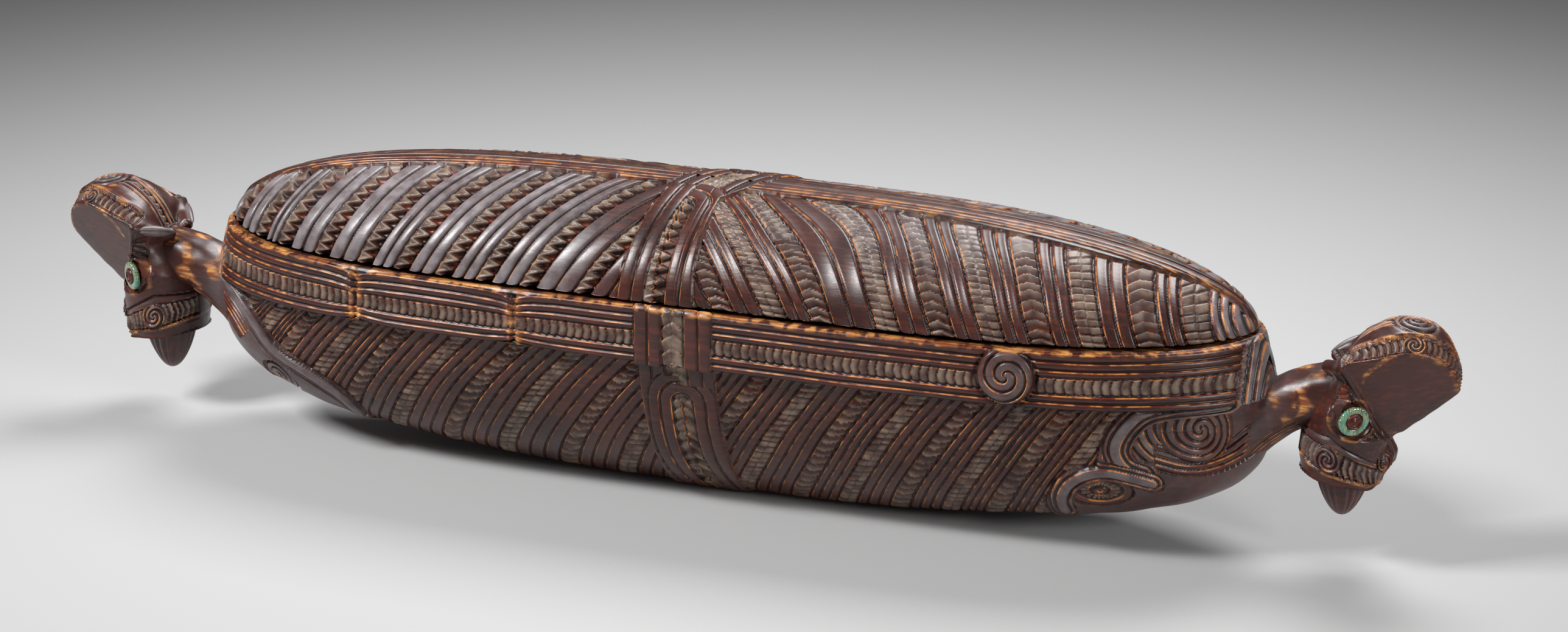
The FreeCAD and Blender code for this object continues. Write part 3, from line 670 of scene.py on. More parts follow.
def hull_points(x_share, sign):
    """Sections of the hull: at a distance x, y = b sqrt(1 - (d/k)^2) (1 - (x/a(d))^4.5)^(1/1.67)."""
    x = hull_length(RIM_DEPTH) * x_share
    keel = keel_depth(x)
    keel[-1] = RIM_DEPTH
    share = np.linspace(0.0, 1.0, HULL_ROWS)[:, None]
    depth = RIM_DEPTH + (keel - RIM_DEPTH)[None, :] * np.cos(0.5 * pi * share)
    length = np.maximum(hull_length(depth), 1e-6)
    y = HULL_WIDTH * np.sqrt(1.0 - (depth / KEEL) ** 2) * power_share(x[None, :] / length,
                                                                    PLAN_LENGTH_POWER, PLAN_WIDTH_POWER)
    y[:, -1] = 0.0
    points = np.stack([sign * np.broadcast_to(x, depth.shape), -y, RIM - depth], axis=2)
    flat = [np.stack([points[0, :, 0], points[0, :, 1] * part, points[0, :, 2]], axis=1)
            for part in np.linspace(0.0, 1.0, FLAT_ROWS + 1)[:-1]]
    return np.concatenate([np.stack(flat), points])


def box_piece(sign):
    """A quarter of the box: keel, hull, rim band, top of the rim, inner wall and floor of the hollow."""
    x_share, y_share = plan_shares(COLUMNS)
    hull = hull_points(x_share, sign)
    depth = RIM - hull[..., 2]
    carving = hull_carving(hull[..., 0], depth, hull_run(depth))
    carving["height"][:FLAT_ROWS] *= 0.15
    parts = [(hull, carving)]
    levels = np.concatenate((np.linspace(RIM_DEPTH, RIM_EDGE, RIM_ROWS - 4),
                             np.linspace(RIM_EDGE, 0.0, 4)[1:]))
    lean = RIM_LEAN * (RIM_DEPTH - levels) / (RIM_DEPTH - RIM_EDGE)
    inset = np.where(levels < RIM_EDGE, RIM_EDGE - levels, 0.0)
    rim = [(RIM_LENGTH - a - b, RIM_WIDTH - b, d) for a, b, d in zip(lean, inset, levels)]
    points = bare_rows(rim, x_share, y_share, sign, 0.0)[0]
    parts.append((points, rim_carving(points[..., 0], RIM - points[..., 2])))
    top = [(RIM_LENGTH - RIM_LEAN - RIM_EDGE - a, RIM_WIDTH - RIM_EDGE - b, 0.0)
           for a, b in ((0.7, 0.7), (2.5, 2.0), (5.0, 4.4), (6.1, 7.2))]
    parts.append(bare_rows(top, x_share, y_share, sign, 0.45))
    hollow = []
    for share in np.linspace(0.0, 1.0, HOLLOW_ROWS):
        deep = HOLLOW_DEPTH * sin(0.5 * pi * share)
        full = deep / HOLLOW_FULL_DEPTH
        hollow.append((HOLLOW_LENGTH * (1.0 - full ** KEEL_POWER) ** (1.0 / KEEL_LENGTH_POWER),
                       HOLLOW_WIDTH * sqrt(1.0 - full ** 2), deep))
    last = hollow[-1]
    hollow += [(last[0], last[1] * part, last[2]) for part in (0.6, 0.3, 0.0)]
    parts.append(bare_rows(hollow, x_share, y_share, sign, 0.1))
    points, carving = joined_rows(parts)
    normals = outward_normals(points, sign, sign)
    carved_rows = len(hull) + len(rim)
    points[:carved_rows] += normals[:carved_rows] * carving["height"][:carved_rows, :, None]
    points[..., 2] = np.maximum(points[..., 2], 0.0)
    return both_sides("box", points, carving, sign, "box")


def lid_points(x_share, sign):
    """Sections of the lid: at a distance x, h = crest(x) sin(angle) and the width follows from the dome."""
    x = LID_LENGTH * x_share
    share = np.linspace(0.0, 1.0, LID_ROWS)[:, None]
    height = crest_height(x)[None, :] * np.sin(0.5 * pi * share)
    length = LID_LENGTH * power_share(height / LID_RISE, 2.0, 3.0)
    y = LID_WIDTH * np.sqrt(1.0 - (height / LID_RISE) ** 2) * power_share(
        x[None, :] / np.maximum(length, 1e-6), PLAN_LENGTH_POWER, PLAN_WIDTH_POWER)
    y[-1] = 0.0
    y[:, -1] = 0.0
    return np.stack([sign * np.broadcast_to(x, y.shape), -y, RIM + height], axis=2)


def lid_piece(sign):
    """A quarter of the lid: carved dome, underside, flange and the hollow under the crest."""
    x_share, y_share = plan_shares(COLUMNS)
    dome = lid_points(x_share, sign)
    height = dome[..., 2] - RIM
    carving = lid_carving(dome[..., 0], dome[..., 1], lid_run(height), height)
    flange = (HOLLOW_LENGTH - FLANGE_GAP, HOLLOW_WIDTH - FLANGE_GAP)
    inner = (flange[0] - FLANGE_WALL, flange[1] - FLANGE_WALL)
    under = [(0.0, 0.0, -(LID_RISE - LID_WALL))]
    for share in np.linspace(1.0, 0.0, 9)[1:]:
        angle = 0.5 * pi * share
        under.append((inner[0] * (1.0 - sin(angle) ** 2) ** (1.0 / 3.0), inner[1] * cos(angle),
                      -(LID_RISE - LID_WALL) * sin(angle)))
    under += [(*inner, FLANGE_DROP), (*flange, FLANGE_DROP), (*flange, 0.0),
              (LID_LENGTH - 7.0, LID_WIDTH - 5.5, 0.0), (LID_LENGTH - 7.0, LID_WIDTH - 5.5, -LID_GAP),
              (LID_LENGTH - 1.5, LID_WIDTH - 1.5, -LID_GAP)]
    inside = bare_rows(under, x_share, y_share, sign, 0.1)
    points, carving = joined_rows([inside, (dome, carving)])
    normals = outward_normals(points, sign, sign)
    points = points + normals * carving["height"][..., None]
    points[len(under):, :, 2] = np.maximum(points[len(under):, :, 2], RIM + LID_GAP)
    return both_sides("lid", points, carving, sign, "lid")


# Heads. The right-hand head is worked out about the middle of its crown, X forward, and mirrored
# for the left.

CROWN_X = 269.4
CROWN_Z = 74.0
HEAD_RAISED = 2.0
CROWN_RADIUS = 21.0
HEAD_MIDDLE = np.array((-13.0, 0.0, -12.0))
CROWN_TALL = 1.07
PROW = np.array((20.2, 1.6, -4.3))
BRIDGE = np.array((-3.7, 1.6, -25.1))
BROW_FOOT = np.array((-6.1, 4.5, -24.8))
TEMPLE = np.array((-19.0, 22.0, 7.5))
EAR_END = np.array((-27.5, 7.0, 2.5))
FACE_DROPS = (-12.0, 0.0, 14.0, 24.0, 34.0, 43.0)
FACE_MIDDLES = (-10.0, -13.5, -18.3, -21.0, -22.0, -22.5)
FACE_LENGTHS = (6.0, 12.5, 16.4, 17.2, 17.0, 15.2)
FACE_WIDTHS = (11.0, 17.5, 19.6, 17.8, 18.2, 16.2)
MOUTH_MIDDLE = np.array((-22.0, 0.0, -40.5))
MOUTH_SLOPE = radians(9.0)
MOUTH_HALF = (12.2, 11.2)
EYE_SEAT = np.array((-13.25, 18.8, -14.0))
EYE_TURN = radians(52.0)
NECK_START = 208.0
NECK_END = 254.0
# Balls that draw the crown out to the temple: middle and radius
CROWN_CORNERS = (((-8.0, 8.0, 2.0), 14.0), ((-13.0, 14.0, 4.5), 8.2), ((-16.3, 18.3, 6.2), 3.9))
# Rods of the nose, the nostril and the cheek: start, end, radius and blend
FACE_RODS = (((-6.3, 2.2, -30.5), (-7.2, 3.2, -34.0), 4.1, 1.6),
             ((-7.6, 5.6, -32.3), (-8.0, 6.2, -33.0), 4.0, 0.8),
             ((-10.0, 7.5, -38.0), (-12.5, 9.5, -40.5), 4.0, 2.5))
NOSTRIL = np.array((-5.2, 6.6, -32.5))
# Outline of the eye's sunk field, in mm forward and up from the eye
SOCKET = [(-6.6, 18.5), (11.8, -8.8), (9.0, -9.2), (3.0, -8.6), (-3.5, -7.6), (-7.4, -3.0), (-7.8, 4.0)]
HEAD_ROWS = 250
HEAD_COLUMNS = 360


def unit(vector):
    """The same direction with a length of one."""
    return vector / np.linalg.norm(vector)


BROW = unit(TEMPLE - BRIDGE)
PLATE_NORMAL = unit(np.cross(BROW, PROW - BRIDGE))
PLATE_NORMAL = PLATE_NORMAL * np.sign(PLATE_NORMAL[1])
PLATE_UP = unit((PROW - BRIDGE) - np.dot(PROW - BRIDGE, BROW) * BROW)


def melted(a, b, blend):
    """Smooth minimum: joins two bodies with a fillet about `blend` mm across."""
    share = np.clip(0.5 + 0.5 * (b - a) / blend, 0.0, 1.0)
    return b + (a - b) * share - blend * share * (1.0 - share)


def both_off(a, b, blend):
    """Smooth maximum: keeps what is inside both bodies."""
    return -melted(-a, -b, blend)


def rod(points, start, end, radius):
    """Distance to a round-ended rod."""
    span = end - start
    share = np.clip((points - start) @ span / (span @ span), 0.0, 1.0)
    return np.linalg.norm(points - start - share[..., None] * span, axis=-1) - radius


def eye_frame(points):
    """Forward, upward and outward distances from the seat of the eye on a folded head."""
    away = points - EYE_SEAT
    forward = away @ np.array((sin(EYE_TURN), -cos(EYE_TURN), 0.0))
    outward = away @ np.array((cos(EYE_TURN), sin(EYE_TURN), 0.0))
    return forward, away[..., 2], outward


def head_skin(points):
    """Signed distance, roughly: crown ball with a corner drawn out to each temple, joined to the face's
    ovals, less a wedge above each brow, the space below the mouth, the mouth's recess and a flared pocket
    for each eye, plus the brows, the nose, the nostrils and the ridge from temple to neck."""
    folded = np.stack([points[..., 0], np.abs(points[..., 1]), points[..., 2]], axis=-1)
    x, y, z = folded[..., 0], folded[..., 1], folded[..., 2]
    crown = np.linalg.norm(folded / np.array((1.0, 1.0, CROWN_TALL)), axis=-1) - CROWN_RADIUS
    for centre, radius in CROWN_CORNERS:
        crown = melted(crown, np.linalg.norm(folded - np.array(centre), axis=-1) - radius, 4.0)
    middle = np.interp(-z, FACE_DROPS, FACE_MIDDLES)
    length = np.interp(-z, FACE_DROPS, FACE_LENGTHS)
    width = np.interp(-z, FACE_DROPS, FACE_WIDTHS)
    face = (np.hypot((x - middle) / length, y / width) - 1.0) * 0.5 * (length + width)
    skin = melted(crown, np.maximum(face, z - 9.0), 4.0)
    skin = melted(skin, rod(folded, TEMPLE * 0.9, EAR_END, 2.6), 3.0)
    skin = skin + 1.6 * np.exp(-((z + 20.0) / 5.0) ** 2) * ease(y, 4.0, 12.0) * ease(-x, 16.0, 30.0)
    blunt = np.stack([x, np.sqrt(y ** 2 + PROW[1] ** 2), z], axis=-1)
    plate = (blunt - PROW) @ PLATE_NORMAL
    above = (blunt - BRIDGE) @ PLATE_UP + 1.6
    skin = both_off(skin, np.minimum(plate, above), 1.0)
    skin = melted(skin, rod(folded, BROW_FOOT, TEMPLE * 0.97, 1.15), 0.8)
    for start, end, radius, blend in FACE_RODS:
        skin = melted(skin, rod(folded, np.array(start), np.array(end), radius), blend)
    forward, upward, outward = eye_frame(folded)
    flare = 6.6 + 0.5 * (outward + 3.0) - np.hypot(forward, upward)
    skin = np.maximum(skin, np.minimum(flare, outward + 3.3))
    below = (points - MOUTH_MIDDLE) @ np.array((-sin(MOUTH_SLOPE), 0.0, -cos(MOUTH_SLOPE)))
    skin = np.maximum(skin, below)
    recess = 1.0 - np.hypot((x - MOUTH_MIDDLE[0]) / MOUTH_HALF[0], y / MOUTH_HALF[1])
    return np.maximum(skin, np.minimum(recess * 11.0, below + 4.5))


def head_points():
    """Skin found along rays from the middle of the head, by halving the distance to it again and again."""
    turn = np.linspace(-pi, pi, HEAD_COLUMNS + 1)[None, :]
    tip = np.linspace(-0.5 * pi, 0.5 * pi, HEAD_ROWS)[:, None]
    ray = np.stack([np.cos(tip) * np.cos(turn), np.cos(tip) * np.sin(turn), np.sin(tip) + 0.0 * turn],
                   axis=-1)
    near = np.full(ray.shape[:2], 2.0)
    far = np.full(ray.shape[:2], 52.0)
    for _ in range(30):
        half = 0.5 * (near + far)
        inside = head_skin(HEAD_MIDDLE + ray * half[..., None]) < 0.0
        near = np.where(inside, half, near)
        far = np.where(inside, far, half)
    points = HEAD_MIDDLE + ray * near[..., None]
    step = 0.35
    slope = [head_skin(points + step * axis) - head_skin(points - step * axis) for axis in np.eye(3)]
    normal = np.stack(slope, axis=-1)
    return points, normal / np.maximum(np.linalg.norm(normal, axis=-1, keepdims=True), 1e-9)


def in_outline(x, y, corners):
    """Least distance inside the edges of a convex outline given clockwise."""
    least = np.full(np.shape(x), 1e9)
    for (x1, y1), (x2, y2) in zip(corners, corners[1:] + corners[:1]):
        length = np.hypot(x2 - x1, y2 - y1)
        least = np.minimum(least, ((y2 - y1) * (x - x1) - (x2 - x1) * (y - y1)) / length)
    return least


def head_carving(points):
    """Notched band and spiral over each plate, spiral on the crown, strip down the nape, eye sockets,
    lip band with its spiral and the scroll of the nostril."""
    x, y, z = points[..., 0], np.abs(points[..., 1]), points[..., 2]
    folded = np.stack([x, y, z], axis=-1)
    out = np.linalg.norm(folded, axis=-1)
    ball = np.linalg.norm(folded / np.array((1.0, 1.0, CROWN_TALL)), axis=-1)
    carving = plain(x)
    carving["height"] = 0.15 * ripple(x + z, y - z, 13.0)
    plate = (np.stack([x, np.hypot(y, PROW[1]), z], axis=-1) - PROW) @ PLATE_NORMAL
    above = (folded - BRIDGE) @ PLATE_UP
    on_ball = (ball > CROWN_RADIUS - 0.7) & (plate < -0.3)
    edge_angle = np.arccos(np.clip(PROW @ PLATE_NORMAL / np.maximum(out, CROWN_RADIUS), -1.0, 1.0))
    angle = np.arccos(np.clip(folded @ PLATE_NORMAL / np.maximum(out, 1e-6), -1.0, 1.0))
    across = (angle - edge_angle) * CROWN_RADIUS
    around = np.arctan2(folded @ BROW, folded @ PLATE_UP)
    along = around * CROWN_RADIUS * 0.95
    band = lengthwise(np.clip(across, 0.0, 7.6), (0.0, 0.9, 6.7, 7.6), along, 1,
                      lambda run, side: beads(-run, side, 2.5))
    band["bloom_and_sheen"] = band["bloom_and_sheen"] + 0.15 * (1.0 - band["notch"])
    scroll_right = along - radians(56.0) * CROWN_RADIUS * 0.95
    scroll = spiral(scroll_right, across - 3.8, 1.55, 2.0, 4.2, 1.0, 0.9)
    scroll["notch"] = scroll["notch"] + 0.8
    band = laid_over(band, scroll, np.hypot(scroll_right, across - 3.8) < 4.1)
    on_band = on_ball & (across > 0.0) & (across < 7.6)
    on_band = on_band & (around > radians(-34.0)) & (around < radians(121.0))
    band["height"] = band["height"] - 0.3
    carving = laid_over(carving, band, on_band & (z > -11.0))
    rim = np.exp(-((across - 8.0) / 0.9) ** 2) * on_ball
    rim = rim * (around > radians(-30.0)) * (around < radians(118.0))
    carving["height"] = carving["height"] + 0.3 * rim
    carving["bare"] = np.maximum(carving["bare"], 0.9 * rim)
    brim = np.exp(-(plate / 0.7) ** 2) * (np.abs(ball - CROWN_RADIUS + 0.2) < 0.8) * (above > 0.0)
    carving["bare"] = np.maximum(carving["bare"], 0.7 * brim)
    top = np.hypot(x - 2.6, y)
    coil = spiral(x - 2.6, points[..., 1], 2.7, 2.0, 8.0, -1.0, 1.1)
    coil["bloom_and_sheen"] = coil["bloom_and_sheen"] + 0.25
    strip = lengthwise(np.clip(points[..., 1] + 5.8, 0.01, 11.59), (0.0, 2.3, 4.5, 7.1, 9.3, 11.6),
                       z, 2, lambda run, side: squares(run, side, 2.6))
    strip["bloom_and_sheen"] = strip["bloom_and_sheen"] + 0.5
    strip["notch"] = np.maximum(strip["notch"], 0.8)
    nape = (x < 0.0) & (y < 5.8) & (z > 3.5) & (ball > CROWN_RADIUS - 2.0)
    carving = laid_over(carving, strip, nape)
    carving = laid_over(carving, coil, (top < 8.2) & (z > 10.0))
    carving["height"] = carving["height"] - 0.5 * np.exp(-((top - 8.4) / 0.5) ** 2) * (z > 10.0)
    halo = np.exp(-((top - 9.4) / 0.7) ** 2) * (z > 10.0) * (y > 3.0)
    carving["bare"] = np.maximum(carving["bare"], 0.5 * halo)
    forward, upward, outward = eye_frame(folded)
    socket = in_outline(forward, upward, SOCKET)
    sunk = plain(x)
    cuts = beads(upward - 0.5 * forward, 0.0 * x, 2.3)
    notched = ((upward > 7.6) | (forward > 6.2)) & (socket > 0.6)
    sunk["height"] = -1.3 * ease(socket, 0.0, 1.2) + np.where(notched, 0.8 * cuts, 0.0)
    sunk["notch"] = np.where(notched, 0.8, 0.0)
    on_side = (outward > -8.0) & (y > 5.0) & (out < 40.0)
    carving = laid_over(carving, sunk, (socket > 0.0) & on_side)
    ring = np.hypot(forward, upward)
    lid_edge = np.exp(-((ring - 8.0) / 0.6) ** 2) * on_side
    carving["height"] = carving["height"] + 0.5 * lid_edge
    carving["bare"] = np.maximum(carving["bare"], 0.35 * lid_edge)
    up_lip = -((points - MOUTH_MIDDLE) @ np.array((-sin(MOUTH_SLOPE), 0.0, -cos(MOUTH_SLOPE))))
    turn = np.arctan2(y / 18.2, (x - MOUTH_MIDDLE[0]) / 17.0)
    arc = turn * 17.6
    centre = np.interp(turn, np.radians((0.0, 20.0, 97.0, 150.0, 180.0)), (3.9, 4.4, 9.6, 10.5, 10.5))
    half = np.interp(turn, np.radians((0.0, 20.0, 97.0, 150.0)), (2.3, 2.7, 4.8, 3.4))
    lip = lengthwise(np.clip((up_lip - centre) / half, -1.6, 1.9), (-1.6, -1.0, 1.0, 1.9), arc, 1,
                     lambda run, side: chevrons(run, side, 2.6))
    lip["width"] = lip["width"] * half
    lip["bloom_and_sheen"] = lip["bloom_and_sheen"] + 0.15
    swirl_right, swirl_up = arc - radians(97.0) * 17.6, up_lip - 9.6
    swirl = spiral(swirl_right, swirl_up, 1.95, 2.0, 5.4, 1.0, 1.0)
    swirl["height"] = swirl["height"] + 0.4
    swirl["bloom_and_sheen"] = swirl["bloom_and_sheen"] + 0.15
    lip = laid_over(lip, swirl, np.hypot(swirl_right, swirl_up) < 5.3)
    on_lip = (up_lip < centre + 1.9 * half) & (up_lip > centre - 1.15 * half)
    on_lip = on_lip & (z < -18.0) & (turn < radians(165.0))
    carving = laid_over(carving, lip, on_lip)
    arris = np.exp(-((up_lip - centre + 1.25 * half) / 0.5) ** 2) * (z < -18.0) * (up_lip > 0.4)
    carving["bare"] = np.maximum(carving["bare"], 0.9 * arris)
    under = ease(centre - 1.2 * half - up_lip, 0.0, 1.0) * (z < -18.0) * (up_lip > 0.2)
    carving["height"] = carving["height"] - 0.7 * under
    beside = folded - NOSTRIL
    scroll = spiral(beside[..., 0] - 0.6 * beside[..., 1], beside[..., 2], 1.5, 1.0, 4.0, 1.0, 0.8)
    return laid_over(carving, scroll, np.linalg.norm(beside, axis=-1) < 4.0)


def head_place(points, sign):
    """Moves a head from the middle of its crown to its end of the box, mirrored for the left."""
    moved = points + np.array((CROWN_X, 0.0, CROWN_Z + sign * HEAD_RAISED))
    return moved * np.array((sign, 1.0, 1.0))


def closed_grid(name, points, carving, sign, body):
    """A grid that closes on itself along its columns and at both ends, mirrored where sign is -1."""
    rows, columns = points.shape[:2]
    faces = grid_faces(rows, columns, sign < 0).tolist()
    return make_piece(name, points, faces, body, carving)


SIDES = (("right", 1.0), ("left", -1.0))


def heads():
    """Both heads: the skin moved outward by its carving, its poles and its seam closed."""
    points, normal = head_points()
    carving = head_carving(points)
    points = points + normal * carving["height"][..., None]
    points[0] = points[0].mean(axis=0)
    points[-1] = points[-1].mean(axis=0)
    points[:, -1] = points[:, 0]
    return [closed_grid("head_" + side, head_place(points, sign), carving, sign, "box")
            for side, sign in SIDES]


def tongues():
    """Tongue: an oval cone below the mouth with a round tip, grooved lengthwise."""
    down = np.linspace(0.0, 1.0, 90)[:, None]
    turn = np.linspace(0.0, 2.0 * pi, 181)[None, :]
    fullness = np.sqrt(np.clip(1.0 - down ** 2.2, 0.0, 1.0)) * (1.0 - 0.28 * down)
    grooves = 0.5 + 0.5 * np.cos(turn * 18.0 + 0.4 * np.sin(7.0 * down))
    size = fullness * (0.98 - 0.075 * grooves * ease(down, 0.0, 0.2) * (1.0 - 0.5 * down))
    points = np.stack([MOUTH_MIDDLE[0] + 11.6 * size * np.cos(turn), 10.8 * size * np.sin(turn),
                       MOUTH_MIDDLE[2] + 4.0 - 21.0 * down + 0.0 * turn], axis=-1)
    top = np.broadcast_to(points[:1].mean(axis=1, keepdims=True), points[:1].shape)
    points = np.concatenate([top, points])
    carving = plain(points[..., 0])
    carving["height"][1:] = -1.2 * grooves
    return [closed_grid("tongue_" + side, head_place(points, sign), carving, sign, "box")
            for side, sign in SIDES]


def ears():
    """Leaf-shaped ridge from each temple towards the neck, grooved along its middle. The right-hand head
    has it on its far side only, as the photograph shows none on the near side."""
    along = np.linspace(-1.0, 1.0, 61)[:, None]
    turn = np.linspace(0.0, 2.0 * pi, 49)[None, :]
    half = 2.3 * (1.0 - along ** 2) ** 0.8
    thick = 2.0 * (1.0 - along ** 2) ** 0.5
    ridge = 1.0 - 0.25 * np.exp(-((np.sin(turn) - 0.1) / 0.2) ** 2)
    angle = radians(52.0)
    length, depth = 9.5 * along, thick * np.cos(turn) * ridge
    x = length * cos(angle) - depth * sin(angle) - 24.2
    y = length * sin(angle) + depth * cos(angle) + 14.2
    z = half * np.sin(turn) + 0.19 * length + 5.2
    pieces = []
    for far, sign, name in ((1.0, 1.0, "ear_right_far"), (1.0, -1.0, "ear_left_far"),
                            (-1.0, -1.0, "ear_left_near")):
        points = np.stack([x, far * y, z], axis=-1)
        carving = plain(x)
        carving["bloom_and_sheen"] = carving["bloom_and_sheen"] + 0.5
        pieces.append(closed_grid(name, head_place(points, sign), carving, sign, "box"))
    return pieces


def necks():
    """Neck: an oval bar that flares down into the end of the hull, its middle and size eased along it."""
    share = np.linspace(0.0, 1.0, 130)[:, None]
    turn = np.linspace(0.0, 2.0 * pi, 161)[None, :]
    x = NECK_START + (NECK_END - NECK_START) * share
    grain = 0.18 * ripple(share * 45.0, turn * 11.0, 9.0) + 0.25 * np.cos(5.0 * turn + 0.6)
    tall = 10.8 + 5.2 * (1.0 - share) ** 2.2 + grain
    wide = 10.9 + 2.9 * (1.0 - share) ** 2 + grain
    pieces = []
    for side, sign in SIDES:
        middle = RIM - 20.0 - 22.5 * (1.0 - share) ** 2.4 + sign * HEAD_RAISED * share
        lower = np.clip(-np.sin(turn), 0.0, 1.0)
        lines = lengthwise(np.mod(turn / (2.0 * pi) * 30.0, 4.0) + 0.0 * share, (0.0, 1.0, 2.0, 3.0, 4.0),
                           share * 45.0, 9, beads)
        lines["width"] = lines["width"] * 3.0
        marked = (lower > 0.45) & (share < 0.5)
        carving = laid_over(plain(x + 0.0 * turn), lines, marked)
        carving["height"] = np.where(marked, 0.8 * carving["height"] + 0.5, 0.0)
        worn = ease(ripple(share * 45.0, turn * 11.0, 14.0, 1.0), -0.1, 0.6)
        carving["bare"] = 0.9 * worn * (np.sin(turn) > -0.4) * (np.cos(turn) < 0.5)
        # Painted highlight: a grey sheen along the upper side of the neck near its root.
        grey_sheen_and_bloom = np.exp(-((share - 0.22) / 0.14) ** 2)
        carving["bloom_and_sheen"] = 0.4 * grey_sheen_and_bloom * np.clip(np.sin(turn) + 0.6, 0.0, 1.0)
        points = np.stack([sign * x + 0.0 * turn, (wide + carving["height"]) * np.cos(turn),
                           middle + (tall + carving["height"]) * np.sin(turn)], axis=-1)
        rows, columns = points.shape[:2]
        faces = grid_faces(rows, columns, sign > 0).tolist()
        faces.append(list(range(columns - 1)))
        faces.append([(rows - 1) * columns + k for k in range(columns - 1)])
        pieces.append(make_piece("neck_" + side, points, faces, "box", carving))
    return pieces


# Sections of the shell ring and the peg: share of the edge or radius, and height above the eye's seat
RING_SECTION = ((0.56, -3.2), (0.56, -1.5), (0.6, -1.35), (0.8, -1.25), (0.95, -1.4), (1.0, -1.7),
                (1.0, -3.2), (0.56, -3.2))
PEG_SECTION = ((0.0, -3.1), (3.1, -3.1), (3.15, -1.3), (2.9, -0.75), (2.4, -0.6), (2.0, -0.9), (1.7, -1.4),
               (1.3, -1.45), (0.9, -0.9), (0.0, -0.7))


def eye_disc(profile, turn, sway):
    """Rings round the way that an eye looks: profile holds (share of the radius, height above the seat)."""
    radius = np.array([share for share, _ in profile])[:, None] * sway
    height = np.array([rise for _, rise in profile])[:, None]
    ahead = np.array((sin(EYE_TURN), -cos(EYE_TURN), 0.0))
    outward = np.array((cos(EYE_TURN), sin(EYE_TURN), 0.0))
    return (EYE_SEAT + (radius * np.cos(turn))[..., None] * ahead
            + (height + 0.0 * turn)[..., None] * outward
            + (radius * np.sin(turn))[..., None] * np.array((0.0, 0.0, 1.0)))


def eyes():
    """Shell ring cut by hand, an oval with small nicks round its edge, and a peg with a stud in its face."""
    turn = np.linspace(0.0, 2.0 * pi, 241)[None, :]
    oval = 5.65 + 0.38 * np.cos(2.0 * turn - radians(50.0))
    nicks = 1.0 - 0.045 * np.clip(6.0 * np.cos(26.0 * turn) - 4.6, 0.0, 1.0)
    edge = nicks * np.ones((len(RING_SECTION), 1))
    edge[:3] = edge[-1] = 1.0
    shapes = (("eye_ring", eye_disc(RING_SECTION, turn, oval * edge), "paua_shell"),
              ("eye_peg", eye_disc(PEG_SECTION, turn, 1.0 + 0.02 * np.cos(5.0 * turn)), "peg_wood"))
    pieces = []
    for label, points, slot in shapes:
        for side, sign in SIDES:
            for place, far in (("near", -1.0), ("far", 1.0)):
                name = label + "_" + side + "_" + place
                moved = head_place(points * np.array((1.0, far, 1.0)), sign)
                pieces.append((closed_grid(name + "_carved", moved, None, sign, "box"), name, slot))
    return pieces


# Materials

def linear(code):
    """sRGB hex to linear RGBA."""
    parts = [int(code[i:i + 2], 16) / 255.0 for i in (1, 3, 5)]
    return [c / 12.92 if c <= 0.04045 else ((c + 0.055) / 1.055) ** 2.4 for c in parts] + [1.0]


def add(tree, kind, settings=None, **inputs):
    """Adds a node with its settings, and sets or links its inputs."""
    node = tree.nodes.new(kind)
    for key, value in (settings or {}).items():
        setattr(node, key, value)
    for key, value in inputs.items():
        socket = node.inputs[int(key[1:])] if key[0] == "i" and key[1:].isdigit() else node.inputs[key]
        if hasattr(value, "is_output"):
            tree.links.new(value, socket)
        else:
            socket.default_value = value
    return node


def calculate(tree, operation, a, b=0.0):
    """One step of arithmetic."""
    return add(tree, "ShaderNodeMath", {"operation": operation}, i0=a, i1=b).outputs[0]


def mixed(tree, share, a, b):
    """Colour a turning to colour b by the share."""
    node = add(tree, "ShaderNodeMix", {"data_type": "RGBA"})
    for socket, value in ((node.inputs[0], share), (node.inputs[6], a), (node.inputs[7], b)):
        if hasattr(value, "is_output"):
            tree.links.new(value, socket)
        else:
            socket.default_value = value
    return node.outputs[2]


def between(tree, value, low, high):
    """0 below low and 1 above high, with a smooth turn."""
    return add(tree, "ShaderNodeMapRange", {"interpolation_type": "SMOOTHSTEP"},
               i0=value, i1=low, i2=high).outputs[0]


def noise(tree, vector, size, detail=4.0, stretch=(1.0, 1.0, 1.0)):
    """Noise whose features are about `size` mm across, stretched along an axis if asked."""
    scale = [1.0 / (size * MM * s) for s in stretch]
    moved = add(tree, "ShaderNodeMapping", Vector=vector, Scale=scale)
    return add(tree, "ShaderNodeTexNoise", Vector=moved.outputs[0], Scale=1.0, Detail=detail).outputs[0]


def attribute_parts(tree, name):
    """The three numbers of a piece's own attribute."""
    source = add(tree, "ShaderNodeAttribute", {"attribute_name": name})
    return add(tree, "ShaderNodeSeparateXYZ", i0=source.outputs["Vector"]).outputs


def new_material(name):
    """Empty material, its node tree and the place on the object."""
    material = bpy.data.materials.new(name)
    material.use_nodes = True
    tree = material.node_tree
    tree.nodes.clear()
    return material, tree, add(tree, "ShaderNodeTexCoord").outputs["Object"]


def finished(material, tree, bump, **look):
    """Ends a material with its shader."""
    if bump is not None:
        look["Normal"] = bump.outputs[0]
    shader = add(tree, "ShaderNodeBsdfPrincipled", **look)
    add(tree, "ShaderNodeOutputMaterial", Surface=shader.outputs[0])
    return material


